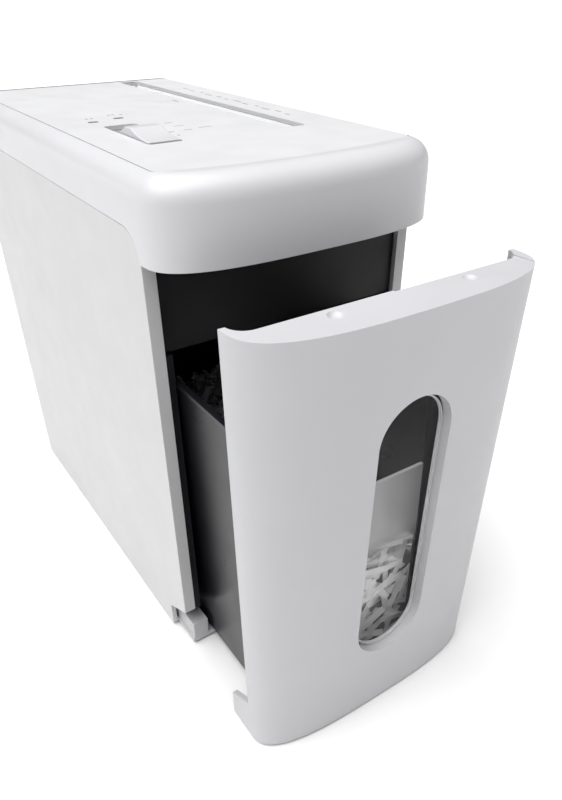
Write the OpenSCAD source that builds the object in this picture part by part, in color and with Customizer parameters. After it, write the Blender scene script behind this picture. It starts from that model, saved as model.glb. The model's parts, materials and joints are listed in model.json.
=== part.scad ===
// Deskside paper shredder with a pull-out waste drawer.
// Millimetres, +Z up, +Y to the back, the drawer drawn pulled part of the way out.

/* [Body] */
// Width of the body at the skirt
body_w = 160; // [150:1:200]
// Width of the body at the floor
body_w_base = 147.5; // [138:0.5:190]
// Depth of the body at the floor, without the bowed front
depth_base = 265; // [255:1:330]
// Depth of the body at the top, without the bowed front
depth_top = 292; // [280:1:360]
// Overall height
total_h = 289; // [280:1:350]
// Wall of the outer casing
case_wall = 2.8; // [2:0.1:4]
// Width of the casing's front flange
flange_w = 6.7; // [5:0.1:9]
// Width of the dark flange inside it
liner_flange = 4; // [3:0.5:6]
// Wall of the inner liner
liner_wall = 1.6; // [1.2:0.1:2.5]
// Corner radius at the back
rear_r = 9; // [6:1:16]
// Rounding of the side wall's front top corner
shoulder_r = 16; // [10:1:20]

/* [Head] */
// Height of the seam between head and sides below the top
head_h = 27; // [25:1:32]
// Height of the front skirt below the top
skirt_h = 40.7; // [38:0.1:46]
// Bow of the head's front
head_bow = 29; // [22:1:34]
// Wall of the head cover
head_wall = 2.6; // [2:0.1:3.5]
// Fillet round the top
top_fillet = 12; // [8:1:14]
// Margin of the inset top panel
panel_margin = 8; // [7:0.5:10]
// Thickness of the inset top panel
panel_t = 2.6; // [2:0.1:4]

/* [Paper entry] */
// Centre line of the paper slot from the middle
slot_x = 42; // [38:0.5:44]
// Length of the paper throat
slot_l = 222; // [215:1:226]
// Centre line of the entry funnel from the middle
funnel_x = 38.5; // [38:0.5:42]
// Width of the entry funnel
funnel_w = 14; // [13:1:24]
// Width of the throat
throat_w = 6; // [5:0.5:7]
// Front end of the funnel from the casing's front
slot_y = 50; // [40:1:60]

/* [Switch] */
// Width of the switch recess
switch_w = 19; // [16:0.5:22]
// Length of the switch recess
switch_l = 59; // [54:1:62]
// Centre of the switch recess from the middle
switch_x = -40; // [-42:0.5:-36]
// Front end of the switch recess
switch_y = 48; // [44:1:60]
// Length of the thumb slider
slider_l = 35; // [30:1:36]
// Travel of the thumb slider
slider_travel = 20; // [16:1:21]
// Height of the thumb slider's ridge above the top
slider_ridge = 4; // [2:0.5:5]

/* [Drawer] */
// How far the drawer is drawn out
pull = 71.6; // [0:0.1:180]
// Gap between the drawer front and the skirt above it
front_gap = 3.3; // [2.3:0.1:6]
// How far the drawer front stands out past the body at its top, each side
front_over_top = 1.8; // [0.3:0.1:4]
// How far the drawer front stands out past the body at its bottom, each side
front_over_base = 0.35; // [0:0.05:2]
// Bow of the drawer front at its top
front_bow_top = 31; // [26:0.5:34]
// Bow of the drawer front at its bottom
front_bow_base = 20.4; // [16:0.2:24]
// Wall of the drawer front
front_wall = 3; // [2.4:0.1:4]
// Depth of the ledge along the drawer's top, from its apex
ledge_depth = 23; // [18:1:24]
// Width of the window
window_w = 43; // [36:1:50]
// Bottom of the window
window_z0 = 43; // [36:1:60]
// Top of the window
window_z1 = 203; // [170:1:206]
// Depth of the window's surround
window_deep = 5.5; // [4.5:0.5:7]
// Height of the bin's rim
bin_h = 183; // [165:1:186]
// Gap between the bin and the mouth of the casing at the bin's rim, each side
bin_gap_top = 2.1; // [2:0.1:6]
// Gap between the bin and the mouth of the casing at the floor, each side
bin_gap_base = 6; // [4:0.5:12]
// Wall of the bin
bin_wall = 2.2; // [1.6:0.1:3]
// Height of the clear pane in the bin's front
pane_h = 143; // [110:1:150]

/* [Cutters] */
// Spacing of the two cutter shafts
shaft_gap = 26; // [25:0.5:27]
// Depth of the cutter shafts below the top
shaft_drop = 57; // [55:0.5:59]
// Radius of the cutter discs
disc_r = 14.8; // [14:0.1:15]
// Radius of the rollers between the discs
core_r = 10.6; // [10:0.1:10.8]
// Radius of the shaft journals
journal_r = 5; // [4:0.1:5.5]
// Width of a cutter disc
disc_w = 4; // [3.6:0.1:4.2]
// Pitch of the discs along a shaft
disc_pitch = 8.8; // [8.8:0.1:9.6]
// Radius of the motor can
motor_r = 23; // [20:0.5:23.5]
// Length of the motor can
motor_l = 98; // [80:1:110]

/* [Clearances] */
// Radial clearance of a running fit
run_clear = 0.05; // [0.02:0.01:0.08]
// Gap between moving covers
move_gap = 0.6; // [0.4:0.1:1]
// Gap at a seam between fixed covers
seam_gap = 0.3; // [0.2:0.05:0.5]
// Height of the rubber feet below the base
foot_h = 2; // [1.5:0.5:4]

/* [Hidden] */
$fn = 48;

rear_most = depth_top;
front_most = -pull - front_bow_top;
mid_y = (rear_most + front_most) / 2;
skirt_z = total_h - skirt_h;
seam_z = total_h - head_h;
body_half = body_w / 2;
head_half = body_half + seam_gap;
curve_n = 3;
curve_steps = 28;
corner_steps = 6;
eps = 0.01;

// Half width and depth of the tapering casing at height z
function half_w(z) = (body_w_base + (body_w - body_w_base) * z / skirt_z) / 2;
function rear_y(z) = depth_base + (depth_top - depth_base) * z / total_h;
shaft_z = total_h - shaft_drop;
front_h = skirt_z - front_gap;
front_half_top = body_w / 2 + front_over_top;
front_half_base = body_w_base / 2 + front_over_base;
bin_half_top = half_w(bin_h) - flange_w - liner_flange - bin_gap_top;
bin_half_base = half_w(0) - flange_w - liner_flange - bin_gap_base;
// Half width, bow and bin sizes of the drawer at height z
function front_half(z) = front_half_base + (front_half_top - front_half_base) * z / front_h;
function front_bow(z) = front_bow_base + (front_bow_top - front_bow_base) * z / front_h;
function bin_half(z) = bin_half_base + (bin_half_top - bin_half_base) * z / bin_h;

function sgn_pow(v, e) = sign(v) * pow(abs(v), e);
// Bowed front edge, from the left end to the right end
function bowed(h, b) = [for (i = [0 : curve_steps]) let (t = 180 + 180 * i / curve_steps)
  [h * sgn_pow(cos(t), 2 / curve_n), b * sgn_pow(sin(t), 2 / curve_n)]];
function arc(cx, cy, r, a0, a1, steps) = [for (i = [0 : steps]) let (a = a0 + (a1 - a0) * i / steps)
  [cx + r * cos(a), cy + r * sin(a)]];
// Outline with a bowed front and a square back with round corners
function bowed_plan(h, b, yr, r) = concat(bowed(h, b), arc(h - r, yr - r, r, 0, 90, corner_steps),
  arc(-h + r, yr - r, r, 90, 180, corner_steps));
// Outline with a straight front and round corners front (rf) and back (rb)
function box_plan(h, y0, y1, rf, rb) = concat(arc(-h + rf, y0 + rf, rf, 180, 270, corner_steps),
  arc(h - rf, y0 + rf, rf, 270, 360, corner_steps), arc(h - rb, y1 - rb, rb, 0, 90, corner_steps),
  arc(-h + rb, y1 - rb, rb, 90, 180, corner_steps));
function at_z(points, z) = [for (p = points) [p[0], p[1], z]];

// Closed solid through a stack of outlines that run anticlockwise
module loft(rings) {
  n = len(rings[0]);
  m = len(rings);
  sides = [for (i = [0 : m - 2]) for (j = [0 : n - 1])
    let (a = i * n + j, b = i * n + (j + 1) % n) each [[a, b + n, b], [a, a + n, b + n]]];
  bottom = [for (j = [0 : n - 1]) j];
  top = [for (j = [n - 1 : -1 : 0]) (m - 1) * n + j];
  polyhedron(points = [for (r = rings) each r], faces = concat([bottom], sides, [top]));
}

module in_frame() translate([0, -mid_y, 0]) children();
module in_drawer() translate([0, -mid_y - pull, 0]) children();
// Profile in X and Z, extruded from y0 to y1
module along_y(y0, y1) translate([0, y1, 0]) rotate([90, 0, 0]) linear_extrude(y1 - y0) children();
// Profile in Y and Z, extruded from x0 to x1
module along_x(x0, x1) translate([x0, 0, 0]) rotate([90, 0, 90]) linear_extrude(x1 - x0) children();
module slab(x0, x1, y0, y1, z0, z1) translate([x0, y0, z0]) cube([x1 - x0, y1 - y0, z1 - z0]);
module rod_y(x, z, r, y0, y1) translate([x, y1, z]) rotate([90, 0, 0]) cylinder(r = r, h = y1 - y0);
module post(x, y, r, z0, z1) translate([x, y, z0]) cylinder(r = r, h = z1 - z0);
module mirror_x() {
  children();
  mirror([1, 0, 0]) children();
}
module rounded_rect(w, l, r) {
  square([w - 2 * r, l], center = true);
  square([w, l - 2 * r], center = true);
  for (sx = [-1, 1]) {
    for (sy = [-1, 1]) translate([sx * (w / 2 - r), sy * (l / 2 - r)]) circle(r);
  }
}
module obround(w, z0, z1) {
  translate([0, z0 + w / 2]) circle(d = w, $fn = 96);
  translate([0, z1 - w / 2]) circle(d = w, $fn = 96);
  translate([-w / 2, z0 + w / 2]) square([w, z1 - z0 - w]);
}

// ---- Casing ----

body_z0 = foot_h;
notch_z = 17.5;
notch_deep = 20.6;
notch_rise = 29;
vent_n = 9;
vent_pitch = 8;
vent_w = 4;
vent_h = 26;
liner_top = shaft_z - 32;
vent_z = liner_top - 22;
gland_x = -46;
gland_z = 34;
gland_r = 6;
rear_screw_x = 58;
rear_screw_z = [30, seam_z - 26];
screw_r = 1.6;
screw_head_r = 3;
screw_head_h = 1.6;
seat_gap = 0.05;

module casing_solid(t, z0, z1, y0) {
  loft([for (z = [z0, z1]) at_z(box_plan(half_w(z) - t, y0, rear_y(z) - t, eps, max(rear_r - t, 1)), z)]);
}
module shoulder_cut() {
  along_x(-body_w, body_w) difference() {
    translate([-1, seam_z - shoulder_r]) square([shoulder_r + 1, shoulder_r + 1]);
    translate([shoulder_r, seam_z - shoulder_r]) circle(shoulder_r, $fn = 96);
  }
}
module tab_notch(x0, x1, gap) {
  along_x(x0, x1) polygon([[-1, -1], [notch_deep + gap, -1], [notch_deep + gap, notch_z + gap],
    [0, notch_rise + gap], [-1, notch_rise + gap]]);
}
module vent_slots() {
  for (i = [0 : vent_n - 1]) {
    translate([(i - (vent_n - 1) / 2) * vent_pitch, vent_z]) rounded_rect(vent_w, vent_h, vent_w / 2 - eps);
  }
}
module front_flange(inner, width, z0, z1, y0, y1) {
  mirror_x() along_y(y0, y1) polygon([
    [half_w(z0) - inner - width, z0], [half_w(z0) - inner, z0],
    [half_w(z1) - inner, z1], [half_w(z1) - inner - width, z1]]);
}
module body_shell() {
  in_frame() color("#ebebed") difference() {
    union() {
      difference() {
        casing_solid(0, body_z0, seam_z, 0);
        casing_solid(case_wall, body_z0 - 1, seam_z + 1, -1);
      }
      front_flange(case_wall - eps, flange_w - case_wall, body_z0, skirt_z - 1, 0, case_wall);
    }
    tab_notch(-body_w, body_w, move_gap);
    shoulder_cut();
    along_y(depth_base - 20, depth_top + 5) vent_slots();
    rod_y(gland_x, gland_z, gland_r + seam_gap, depth_base - 20, depth_top);
    for (z = rear_screw_z) {
      for (s = [-1, 1]) rod_y(s * rear_screw_x, z, screw_r + 0.2, depth_base - 20, depth_top + 5);
    }
  }
}
module liner_solid(t, z0, z1, y0) {
  loft([for (z = [z0, z1])
    at_z(box_plan(half_w(z) - t, y0, rear_y(z) - case_wall - 1 - (t - flange_w), 3, rear_r - 2), z)]);
}
module body_liner() {
  outer = flange_w + liner_flange - liner_wall - 0.4;
  in_frame() color("#2a2a2c") difference() {
    union() {
      difference() {
        liner_solid(outer, body_z0 + 3.2, liner_top, 1);
        liner_solid(outer + liner_wall, body_z0 + 2, liner_top + 1, -6);
      }
      front_flange(flange_w + seam_gap, liner_flange - seam_gap, body_z0 + 16, liner_top, 0.6, 2.6);
    }
    tab_notch(-body_w, body_w, move_gap);
    slab(-body_w, body_w, -1, depth_top, 0, rail_h + 0.5);
    rod_y(gland_x, gland_z, gland_r + 3.5, depth_base - 20, depth_top);
    slab(-grille_half - 1, grille_half + 1, depth_base - 5, depth_top, vent_z - vent_h / 2 - 5,
      vent_z + vent_h / 2 + 5);
  }
}
base_t = 2.6;
rail_x1 = body_w_base / 2 - case_wall - seam_gap - 1.25;
rail_x0 = rail_x1 - 9.4;
rail_h = 16;
foot_x = rail_x0 - 4;
foot_y = [28, 232];
foot_r = 8;
base_screw_x = rail_x1 - 4.9;
base_screw_y = [60, 200];
module base_tray() {
  inset = case_wall + seam_gap;
  in_frame() color("#c9cacd") difference() {
    union() {
      loft([for (z = [body_z0, body_z0 + base_t])
        at_z(box_plan(half_w(z) - inset, 0.5, rear_y(z) - inset, 1, rear_r - inset), z)]);
      mirror_x() slab(rail_x0, rail_x1, 0.5, depth_base - inset - rear_r, body_z0 + 1, rail_h);
      slab(-rail_x1, rail_x1, depth_base - 14, depth_base - 11, body_z0 + 1, rail_h);
    }
    tab_notch(-body_w, -front_half_base + 4, move_gap);
    tab_notch(front_half_base - 4, body_w, move_gap);
    mirror_x() slab(rail_x0 + 2, rail_x1 - 2, 6, depth_base - 30, body_z0 + base_t, rail_h - 2);
    for (y = foot_y) {
      for (s = [-1, 1]) post(s * foot_x, y, 2.6, 0, body_z0 + base_t + 1);
    }
    for (y = base_screw_y) {
      for (s = [-1, 1]) post(s * base_screw_x, y, screw_r, 0, body_z0 + base_t + 1);
    }
  }
}
module feet() {
  in_frame() color("#3a3a3c") {
    for (y = foot_y) {
      for (s = [-1, 1]) {
        post(s * foot_x, y, foot_r, 0, body_z0 - eps);
        post(s * foot_x, y, 2.5, body_z0 - 2 * eps, body_z0 + base_t - 0.4);
      }
    }
  }
}
module pan_screw(len) {
  difference() {
    union() {
      translate([0, 0, -screw_head_h / 2]) cylinder(r = screw_r - 0.1, h = len + screw_head_h / 2);
      translate([0, 0, -screw_head_h]) cylinder(r1 = 2.2, r2 = screw_head_r, h = screw_head_h);
    }
    for (a = [0, 90]) rotate(a) translate([-2, -0.35, -screw_head_h - 0.4]) cube([4, 0.7, 1.2]);
  }
}
module base_screws() {
  in_frame() color("#8a8b8e") {
    for (y = base_screw_y) {
      for (s = [-1, 1]) translate([s * base_screw_x, y, body_z0 - seat_gap]) pan_screw(base_t - 0.2);
    }
  }
}
function rear_seat_y(z) = rear_y(z + screw_head_r) + seat_gap;
module rear_screws() {
  in_frame() color("#8a8b8e") {
    for (z = rear_screw_z) {
      for (s = [-1, 1]) translate([s * rear_screw_x, rear_seat_y(z), z]) rotate([90, 0, 0]) pan_screw(5);
    }
  }
}
grille_bar = 1.6;
grille_half = vent_n * vent_pitch / 2 + 4;
module rear_grille() {
  in_frame() color("#2a2a2c") {
    y1 = rear_y(vent_z - vent_h / 2 - 4) - case_wall - 0.3;
    difference() {
      slab(-grille_half, grille_half, y1 - 1.6, y1,
        vent_z - vent_h / 2 - 4, vent_z + vent_h / 2 + 4);
      for (i = [0 : 4]) {
        slab(4 - grille_half, grille_half - 4, y1 - 3, y1 + 1,
          vent_z - vent_h / 2 + i * 5.6, vent_z - vent_h / 2 + i * 5.6 + 5.6 - grille_bar);
      }
    }
  }
}
module cord_gland() {
  y1 = rear_y(gland_z);
  in_frame() color("#2f2f31") difference() {
    union() {
      rod_y(gland_x, gland_z, gland_r, y1 - 7, y1 + 2);
      rod_y(gland_x, gland_z, gland_r + 2.5, y1 + 1.2, y1 + 3.6);
      rod_y(gland_x, gland_z, gland_r + 1.6, y1 - 7, y1 - 5);
    }
    rod_y(gland_x, gland_z, 3.6, y1 - 10, y1 + 10);
  }
}

// ---- Head ----

fillet_steps = 6;
panel_rear = depth_top - panel_margin - 4;
panel_bow = 6.5;
panel_front = -8;
panel_r = 8;
panel_half = head_half - panel_margin;

function head_ring(inset, z) =
  at_z(bowed_plan(head_half - inset, head_bow - inset, depth_top - inset, max(rear_r + 4 - inset, 1.5)), z);
module head_solid(t) {
  low = skirt_z - (t > 0 ? 1 : 0);
  straight = total_h - top_fillet;
  f = top_fillet - t;
  loft(concat([head_ring(t, low), head_ring(t, straight)],
    [for (i = [1 : fillet_steps]) let (a = 90 * i / fillet_steps)
      head_ring(t + f * (1 - cos(a)), straight + f * sin(a))]));
}
function panel_outline(d) = concat(
  arc(-panel_half + panel_r, panel_front + panel_r, panel_r - d, 180, 255, corner_steps),
  [for (i = [1 : 11]) let (u = -1 + 2 * i / 12)
    [u * (panel_half - panel_r), panel_front + d - panel_bow * (1 - u * u)]],
  arc(panel_half - panel_r, panel_front + panel_r, panel_r - d, 285, 360, corner_steps),
  arc(panel_half - panel_r, panel_rear - panel_r, panel_r - d, 0, 90, corner_steps),
  arc(-panel_half + panel_r, panel_rear - panel_r, panel_r - d, 90, 180, corner_steps));
module panel_prism(d, z0, z1) translate([0, 0, z0]) linear_extrude(z1 - z0) polygon(panel_outline(d));
ledge_w = 4;
module head_cover() {
  in_frame() color("#f0f0f2") difference() {
    head_solid(0);
    head_solid(head_wall);
    panel_prism(0, total_h - panel_t - 0.4, total_h + 1);
    panel_prism(ledge_w, total_h - 10, total_h + 1);
    along_x(-body_w, body_w) difference() {
      translate([0, skirt_z - 2]) square([depth_top + 10, seam_z - skirt_z + 2 + seam_gap]);
      translate([-1, skirt_z - 3]) square([shoulder_r + 1, seam_z + 4 - skirt_z]);
    }
    along_x(-body_w, body_w) intersection() {
      translate([0, skirt_z - 2]) square([shoulder_r + eps, seam_z + 2 + seam_gap - skirt_z]);
      union() {
        translate([shoulder_r, seam_z - shoulder_r]) circle(shoulder_r + seam_gap, $fn = 96);
      }
    }
  }
}
plate_z = skirt_z + 1.2;
plunger_x = 37;
plunger_y = -14.5;
plunger_r = 2.6;
module skirt_plate() {
  in_frame() color("#2a2a2c") difference() {
    intersection() {
      loft([for (z = [plate_z, plate_z + 2]) head_ring(head_wall + seam_gap, z)]);
      slab(-body_w, body_w, -head_bow, -1, plate_z - 1, plate_z + 3);
    }
    for (s = [-1, 1]) post(s * plunger_x, plunger_y, plunger_r + run_clear, plate_z - 1, plate_z + 3);
  }
}
slot_len = slot_l + 4;
funnel_z = total_h - 27;
chute_wall = 1.8;
module slot_shape(w, l) {
  translate([funnel_x, slot_y + slot_len / 2]) rounded_rect(w, l, min(w / 2 - eps, 3));
}
lens_at = [[-49, 122.5], [-32, 127]];
lens_w = 6;
lens_l = 3.4;
panel_top = total_h - 0.4;
module lens_shape(gap) {
  for (p = lens_at) translate(p) rounded_rect(lens_w + 2 * gap, lens_l + 2 * gap, lens_l / 2);
}
module switch_shape(gap) {
  translate([switch_x, switch_y + switch_l / 2])
    rounded_rect(switch_w + 2 * gap, switch_l + 2 * gap, 2.5 + gap);
}
module top_panel() {
  in_frame() color("#f6f6f7") difference() {
    panel_prism(0.5, panel_top - panel_t, panel_top);
    translate([0, 0, total_h - 6]) linear_extrude(10) slot_shape(funnel_w, slot_len);
    translate([0, 0, total_h - 6]) linear_extrude(10) switch_shape(0);
    translate([0, 0, total_h - 6]) linear_extrude(10) lens_shape(0.1);
  }
}
module entry_chute() {
  z1 = panel_top - panel_t - 0.1;
  y0 = slot_y - 2;
  y1 = slot_y + slot_len + 2;
  in_frame() color("#f4f4f5") difference() {
    along_y(y0, y1) polygon([
      [funnel_x - funnel_w / 2 - 3, z1], [funnel_x - funnel_w / 2 - 3, z1 - chute_wall],
      [funnel_x - funnel_w / 2 - chute_wall, z1 - chute_wall],
      [slot_x - throat_w / 2 - chute_wall, funnel_z], [slot_x - throat_w / 2 - chute_wall, funnel_z - 7],
      [slot_x + throat_w / 2 + chute_wall, funnel_z - 7], [slot_x + throat_w / 2 + chute_wall, funnel_z],
      [funnel_x + funnel_w / 2 + chute_wall, z1 - chute_wall],
      [funnel_x + funnel_w / 2 + 3, z1 - chute_wall], [funnel_x + funnel_w / 2 + 3, z1]]);
    along_y(y0 + chute_wall, y1 - chute_wall) polygon([
      [funnel_x - funnel_w / 2, z1 + 1], [funnel_x - funnel_w / 2, z1 - 1],
      [slot_x - throat_w / 2, funnel_z], [slot_x - throat_w / 2, funnel_z - 8],
      [slot_x + throat_w / 2, funnel_z - 8], [slot_x + throat_w / 2, funnel_z],
      [funnel_x + funnel_w / 2, z1 - 1], [funnel_x + funnel_w / 2, z1 + 1]]);
  }
}
tray_deep = 5;
stem_w = 5;
stem_l = 9;
slider_y0 = switch_y + 2.5;
stem_y0 = slider_y0 + slider_l / 2 - stem_l / 2;
module switch_tray() {
  z1 = panel_top - panel_t - 0.1;
  in_frame() color("#e2e2e4") difference() {
    translate([0, 0, z1 - tray_deep]) linear_extrude(tray_deep) switch_shape(1.6);
    translate([0, 0, z1 - tray_deep + 1.6]) linear_extrude(tray_deep) switch_shape(0);
    slab(switch_x - stem_w / 2 - move_gap, switch_x + stem_w / 2 + move_gap, stem_y0 - move_gap,
      stem_y0 + stem_l + slider_travel + move_gap, z1 - tray_deep - 1, z1);
  }
}
slider_z0 = panel_top - panel_t - 0.1 - tray_deep + 1.6 + 0.3;
slider_lip = total_h + 0.2;
slider_high = total_h + slider_ridge;
slider_rise = slider_l - 14;
// Thumb slider: a hollow that sweeps up from the front lip to a ridge, then falls to the back
module slider_profile() {
  polygon(concat(
    [for (i = [0 : 10]) let (u = i / 10)
      [slider_y0 + u * slider_rise, slider_lip + (slider_high - slider_lip) * pow(u, 2)]],
    [[slider_y0 + slider_rise + 7, slider_high - 0.3], [slider_y0 + slider_l, slider_lip],
      [slider_y0 + slider_l, slider_z0], [slider_y0, slider_z0]]));
}
module switch_slider() {
  half = switch_w / 2 - move_gap;
  in_frame() color("#f6f6f7") union() {
    along_x(switch_x - half, switch_x + half) slider_profile();
    slab(switch_x - stem_w / 2, switch_x + stem_w / 2, stem_y0, stem_y0 + stem_l, slider_z0 - 9, slider_z0 + 1);
  }
}
module switch_block() {
  z1 = panel_top - panel_t - 0.1 - tray_deep - 0.2;
  in_frame() color("#3a3c40") difference() {
    slab(switch_x - 8, switch_x + 8, stem_y0 - 4, stem_y0 + stem_l + slider_travel + 4, z1 - 11, z1);
    slab(switch_x - stem_w / 2 - 0.7, switch_x + stem_w / 2 + 0.7, stem_y0 - 1,
      stem_y0 + stem_l + slider_travel + 1, z1 - 8, z1 + 1);
  }
}
module indicator_lenses() {
  in_frame() color("#b9bcc4") translate([0, 0, panel_top - panel_t - 1])
    linear_extrude(panel_t + 1.1) lens_shape(0);
}
module indicator_board() {
  z1 = panel_top - panel_t - 4.4;
  in_frame() color("#20603a") {
    slab(-58, -24, 116, 134, z1 - 1.6, z1);
    for (p = lens_at) post(p[0], p[1], 1.5, z1 - eps, z1 + 3);
  }
}

// ---- Shredding mechanism ----

// The mechanism is drawn from its back plate (y = 0) towards its gears at the front of the machine.
shaft_a_x = slot_x - shaft_gap / 2;
shaft_b_x = slot_x + shaft_gap / 2;
plate_t = 3;
mech_back = slot_y + slot_len + plate_t;
plate_y0 = 0;
plate_y1 = slot_len + 1;
module in_mech() in_frame() translate([0, mech_back, 0]) mirror([0, 1, 0]) children();
cut_y0 = plate_y0 + plate_t + 1.5;
cut_y1 = plate_y1 - 1.5;
mech_right = slot_x + 31;
mech_left = -52;
mech_z0 = shaft_z - 26;
mech_z1 = shaft_z + 27;
plate_foot = liner_top + 3.5;
sync_n = 16;
sync_m = shaft_gap / sync_n;
drive_n = 36;
drive_m = 1.25;
idler_small_n = 12;
idler_big_n = 40;
pinion_n = 10;
motor_m = 1;
idler_x = shaft_a_x - (drive_n + idler_small_n) * drive_m / 2;
motor_x = idler_x - (idler_big_n + pinion_n) * motor_m / 2;
sync_y = plate_y1 + plate_t + 2.2;
drive_y = sync_y + 7;
idler_y = drive_y + 6.5;
gear_t = 5;
idler_r = 3;
motor_shaft_r = 2.5;
bush_r = 7.5;
rod_r = 2.5;
rod_at = [[mech_right - 3.5, mech_z1 - 5], [mech_right - 3.5, mech_z0 + 4.5],
  [shaft_a_x - 19, mech_z1 - 5], [shaft_a_x - 19, mech_z0 + 4.5]];

module mech_front_cover() {
  in_frame() color("#2c2c2f") difference() {
    union() {
      along_y(3, 5.4) polygon([
        [-half_w(liner_top) + flange_w + 0.6, liner_top + 0.8],
        [half_w(liner_top) - flange_w - 0.6, liner_top + 0.8],
        [half_w(seam_z) - flange_w - 0.6, seam_z - 1], [-half_w(seam_z) + flange_w + 0.6, seam_z - 1]]);
      slab(-58, 58, 5, 8, liner_top + 1.2, liner_top + 4);
    }
    slab(-40, -20, 2, 9, seam_z - 20, seam_z - 8);
  }
}
outlet_w = 44;
module mech_floor() {
  in_frame() color("#2c2c2f") difference() {
    union() {
      slab(-64, 68, 9, mech_back - 1, liner_top + 1.2, liner_top + 3.4);
      for (s = [0, 1]) slab(s ? slot_x + outlet_w / 2 : slot_x - outlet_w / 2 - 2,
        s ? slot_x + outlet_w / 2 + 2 : slot_x - outlet_w / 2, slot_y + 2.2, slot_y + slot_len - 0.2,
        liner_top + 3, mech_z0 - 0.6);
    }
    slab(slot_x - outlet_w / 2, slot_x + outlet_w / 2, slot_y + 2, slot_y + slot_len - 2, liner_top, mech_z0);
  }
}
module plate_holes(gear_side) {
  for (x = [shaft_a_x, shaft_b_x]) translate([x, shaft_z]) circle(bush_r + seat_gap);
  for (p = rod_at) translate(p) circle(rod_r - 0.7);
  if (gear_side) {
    translate([idler_x, shaft_z]) circle(idler_r + 3 + seat_gap);
    translate([motor_x, shaft_z]) circle(9);
  }
}
module plate_profile(gear_side) {
  difference() {
    translate([(mech_left + mech_right) / 2, (plate_foot + mech_z1) / 2])
      rounded_rect(mech_right - mech_left, mech_z1 - plate_foot, 4);
    plate_holes(gear_side);
    translate([slot_x - throat_w / 2 - chute_wall - 0.6, funnel_z - 7.6])
      square([throat_w + 2 * chute_wall + 1.2, 20]);
    if (!gear_side) translate([motor_x, shaft_z]) rounded_rect(34, 26, 6);
  }
}
module rear_plate() in_mech() color("#9a9ca0") along_y(plate_y0, plate_y0 + plate_t) plate_profile(false);
module front_plate() in_mech() color("#9a9ca0") along_y(plate_y1, plate_y1 + plate_t) plate_profile(true);
module tie_rods() {
  in_mech() color("#b4b6ba") {
    for (p = rod_at) {
      difference() {
        rod_y(p[0], p[1], rod_r, plate_y0 + plate_t, plate_y1);
        rod_y(p[0], p[1], screw_r, plate_y0, plate_y0 + plate_t + 10);
        rod_y(p[0], p[1], screw_r, plate_y1 - 10, plate_y1 + 1);
      }
    }
  }
}
module plate_screws() {
  in_mech() color("#8a8b8e") {
    for (p = rod_at) {
      translate([p[0], plate_y0 - seat_gap, p[1]]) rotate([-90, 0, 0]) pan_screw(9);
      translate([p[0], plate_y1 + plate_t + seat_gap, p[1]]) rotate([90, 0, 0]) pan_screw(9);
    }
  }
}
module bush(x, r_in, r_out, y0, y1) {
  difference() {
    rod_y(x, shaft_z, r_out, y0, y1);
    rod_y(x, shaft_z, r_in, y0 - 1, y1 + 1);
  }
}
module shaft_bushes() {
  in_mech() color("#b8924a") {
    for (x = [shaft_a_x, shaft_b_x]) {
      bush(x, journal_r + run_clear, bush_r, plate_y0 - 1, plate_y0 + plate_t + 1);
      bush(x, journal_r + run_clear, bush_r, plate_y1 - 1, plate_y1 + plate_t + 1.4);
    }
    bush(idler_x, idler_r + run_clear, idler_r + 3, plate_y1, plate_y1 + plate_t + 1.4);
  }
}
disc_n = floor((cut_y1 - cut_y0 - 4) / disc_pitch);
tooth_cuts = 5;
// Stepped roller outline in radius and length, with n discs from start
function roller_steps(n, start) = [for (i = [0 : n - 1]) let (y = start + i * disc_pitch)
  each [[core_r, y], [disc_r, y], [disc_r, y + disc_w], [core_r, y + disc_w]]];
module cutter(x, offset, n, tail) {
  y_first = cut_y0 + 1.5 + offset;
  translate([x, 0, shaft_z]) rotate([-90, 0, 0]) difference() {
    rotate_extrude($fn = 72) polygon(concat([[0, plate_y0 - 2.5], [journal_r, plate_y0 - 2.5],
      [journal_r, cut_y0 - 0.3], [core_r, cut_y0 - 0.3]], roller_steps(n, y_first),
      [[core_r, cut_y1 + 0.3], [journal_r, cut_y1 + 0.3], [journal_r, tail], [0, tail]]));
    for (i = [0 : tooth_cuts - 1]) {
      rotate(i * 360 / tooth_cuts) translate([0, 0, cut_y0]) linear_extrude(cut_y1 - cut_y0)
        polygon([[disc_r - 3, 0], [disc_r + 1, -3.4], [disc_r + 1, 0.6]]);
    }
  }
}
module cutter_shaft_a() in_mech() color("#7d8086") cutter(shaft_a_x, 0, disc_n, drive_y + gear_t + 0.8);
module cutter_shaft_b() in_mech() color("#7d8086")
  cutter(shaft_b_x, disc_pitch / 2, disc_n - 1, sync_y + gear_t + 0.6);
// Gear outline with n trapezoid teeth of module m, one tooth pointing to phase
function gear_points(n, m, phase) = [for (i = [0 : n - 1]) let (p = 360 / n, c = phase + i * p, r = n * m / 2)
  each [for (k = [[-0.27, -1.2], [-0.12, 0.9], [0.12, 0.9], [0.27, -1.2]])
    [(r + k[1] * m) * cos(c + k[0] * p), (r + k[1] * m) * sin(c + k[0] * p)]]];
module gear(x, n, m, phase, y0, bore, hub_r) {
  translate([x, 0, shaft_z]) along_y(y0, y0 + gear_t) difference() {
    union() {
      polygon(gear_points(n, m, phase));
      circle(hub_r);
    }
    circle(bore);
  }
}
module sync_gear_a() in_mech() color("#d8d4c6") gear(shaft_a_x, sync_n, sync_m, 0, sync_y, journal_r, 6);
module sync_gear_b() in_mech() color("#d8d4c6")
  gear(shaft_b_x, sync_n, sync_m, 180 / sync_n, sync_y, journal_r, 6);
module drive_gear() in_mech() color("#d8d4c6") difference() {
  gear(shaft_a_x, drive_n, drive_m, 0, drive_y, journal_r, 6);
  for (i = [0 : 5]) rod_y(shaft_a_x + 14 * cos(i * 60 + 30), shaft_z + 14 * sin(i * 60 + 30), 3,
    drive_y - 1, drive_y + gear_t + 1);
}
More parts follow.
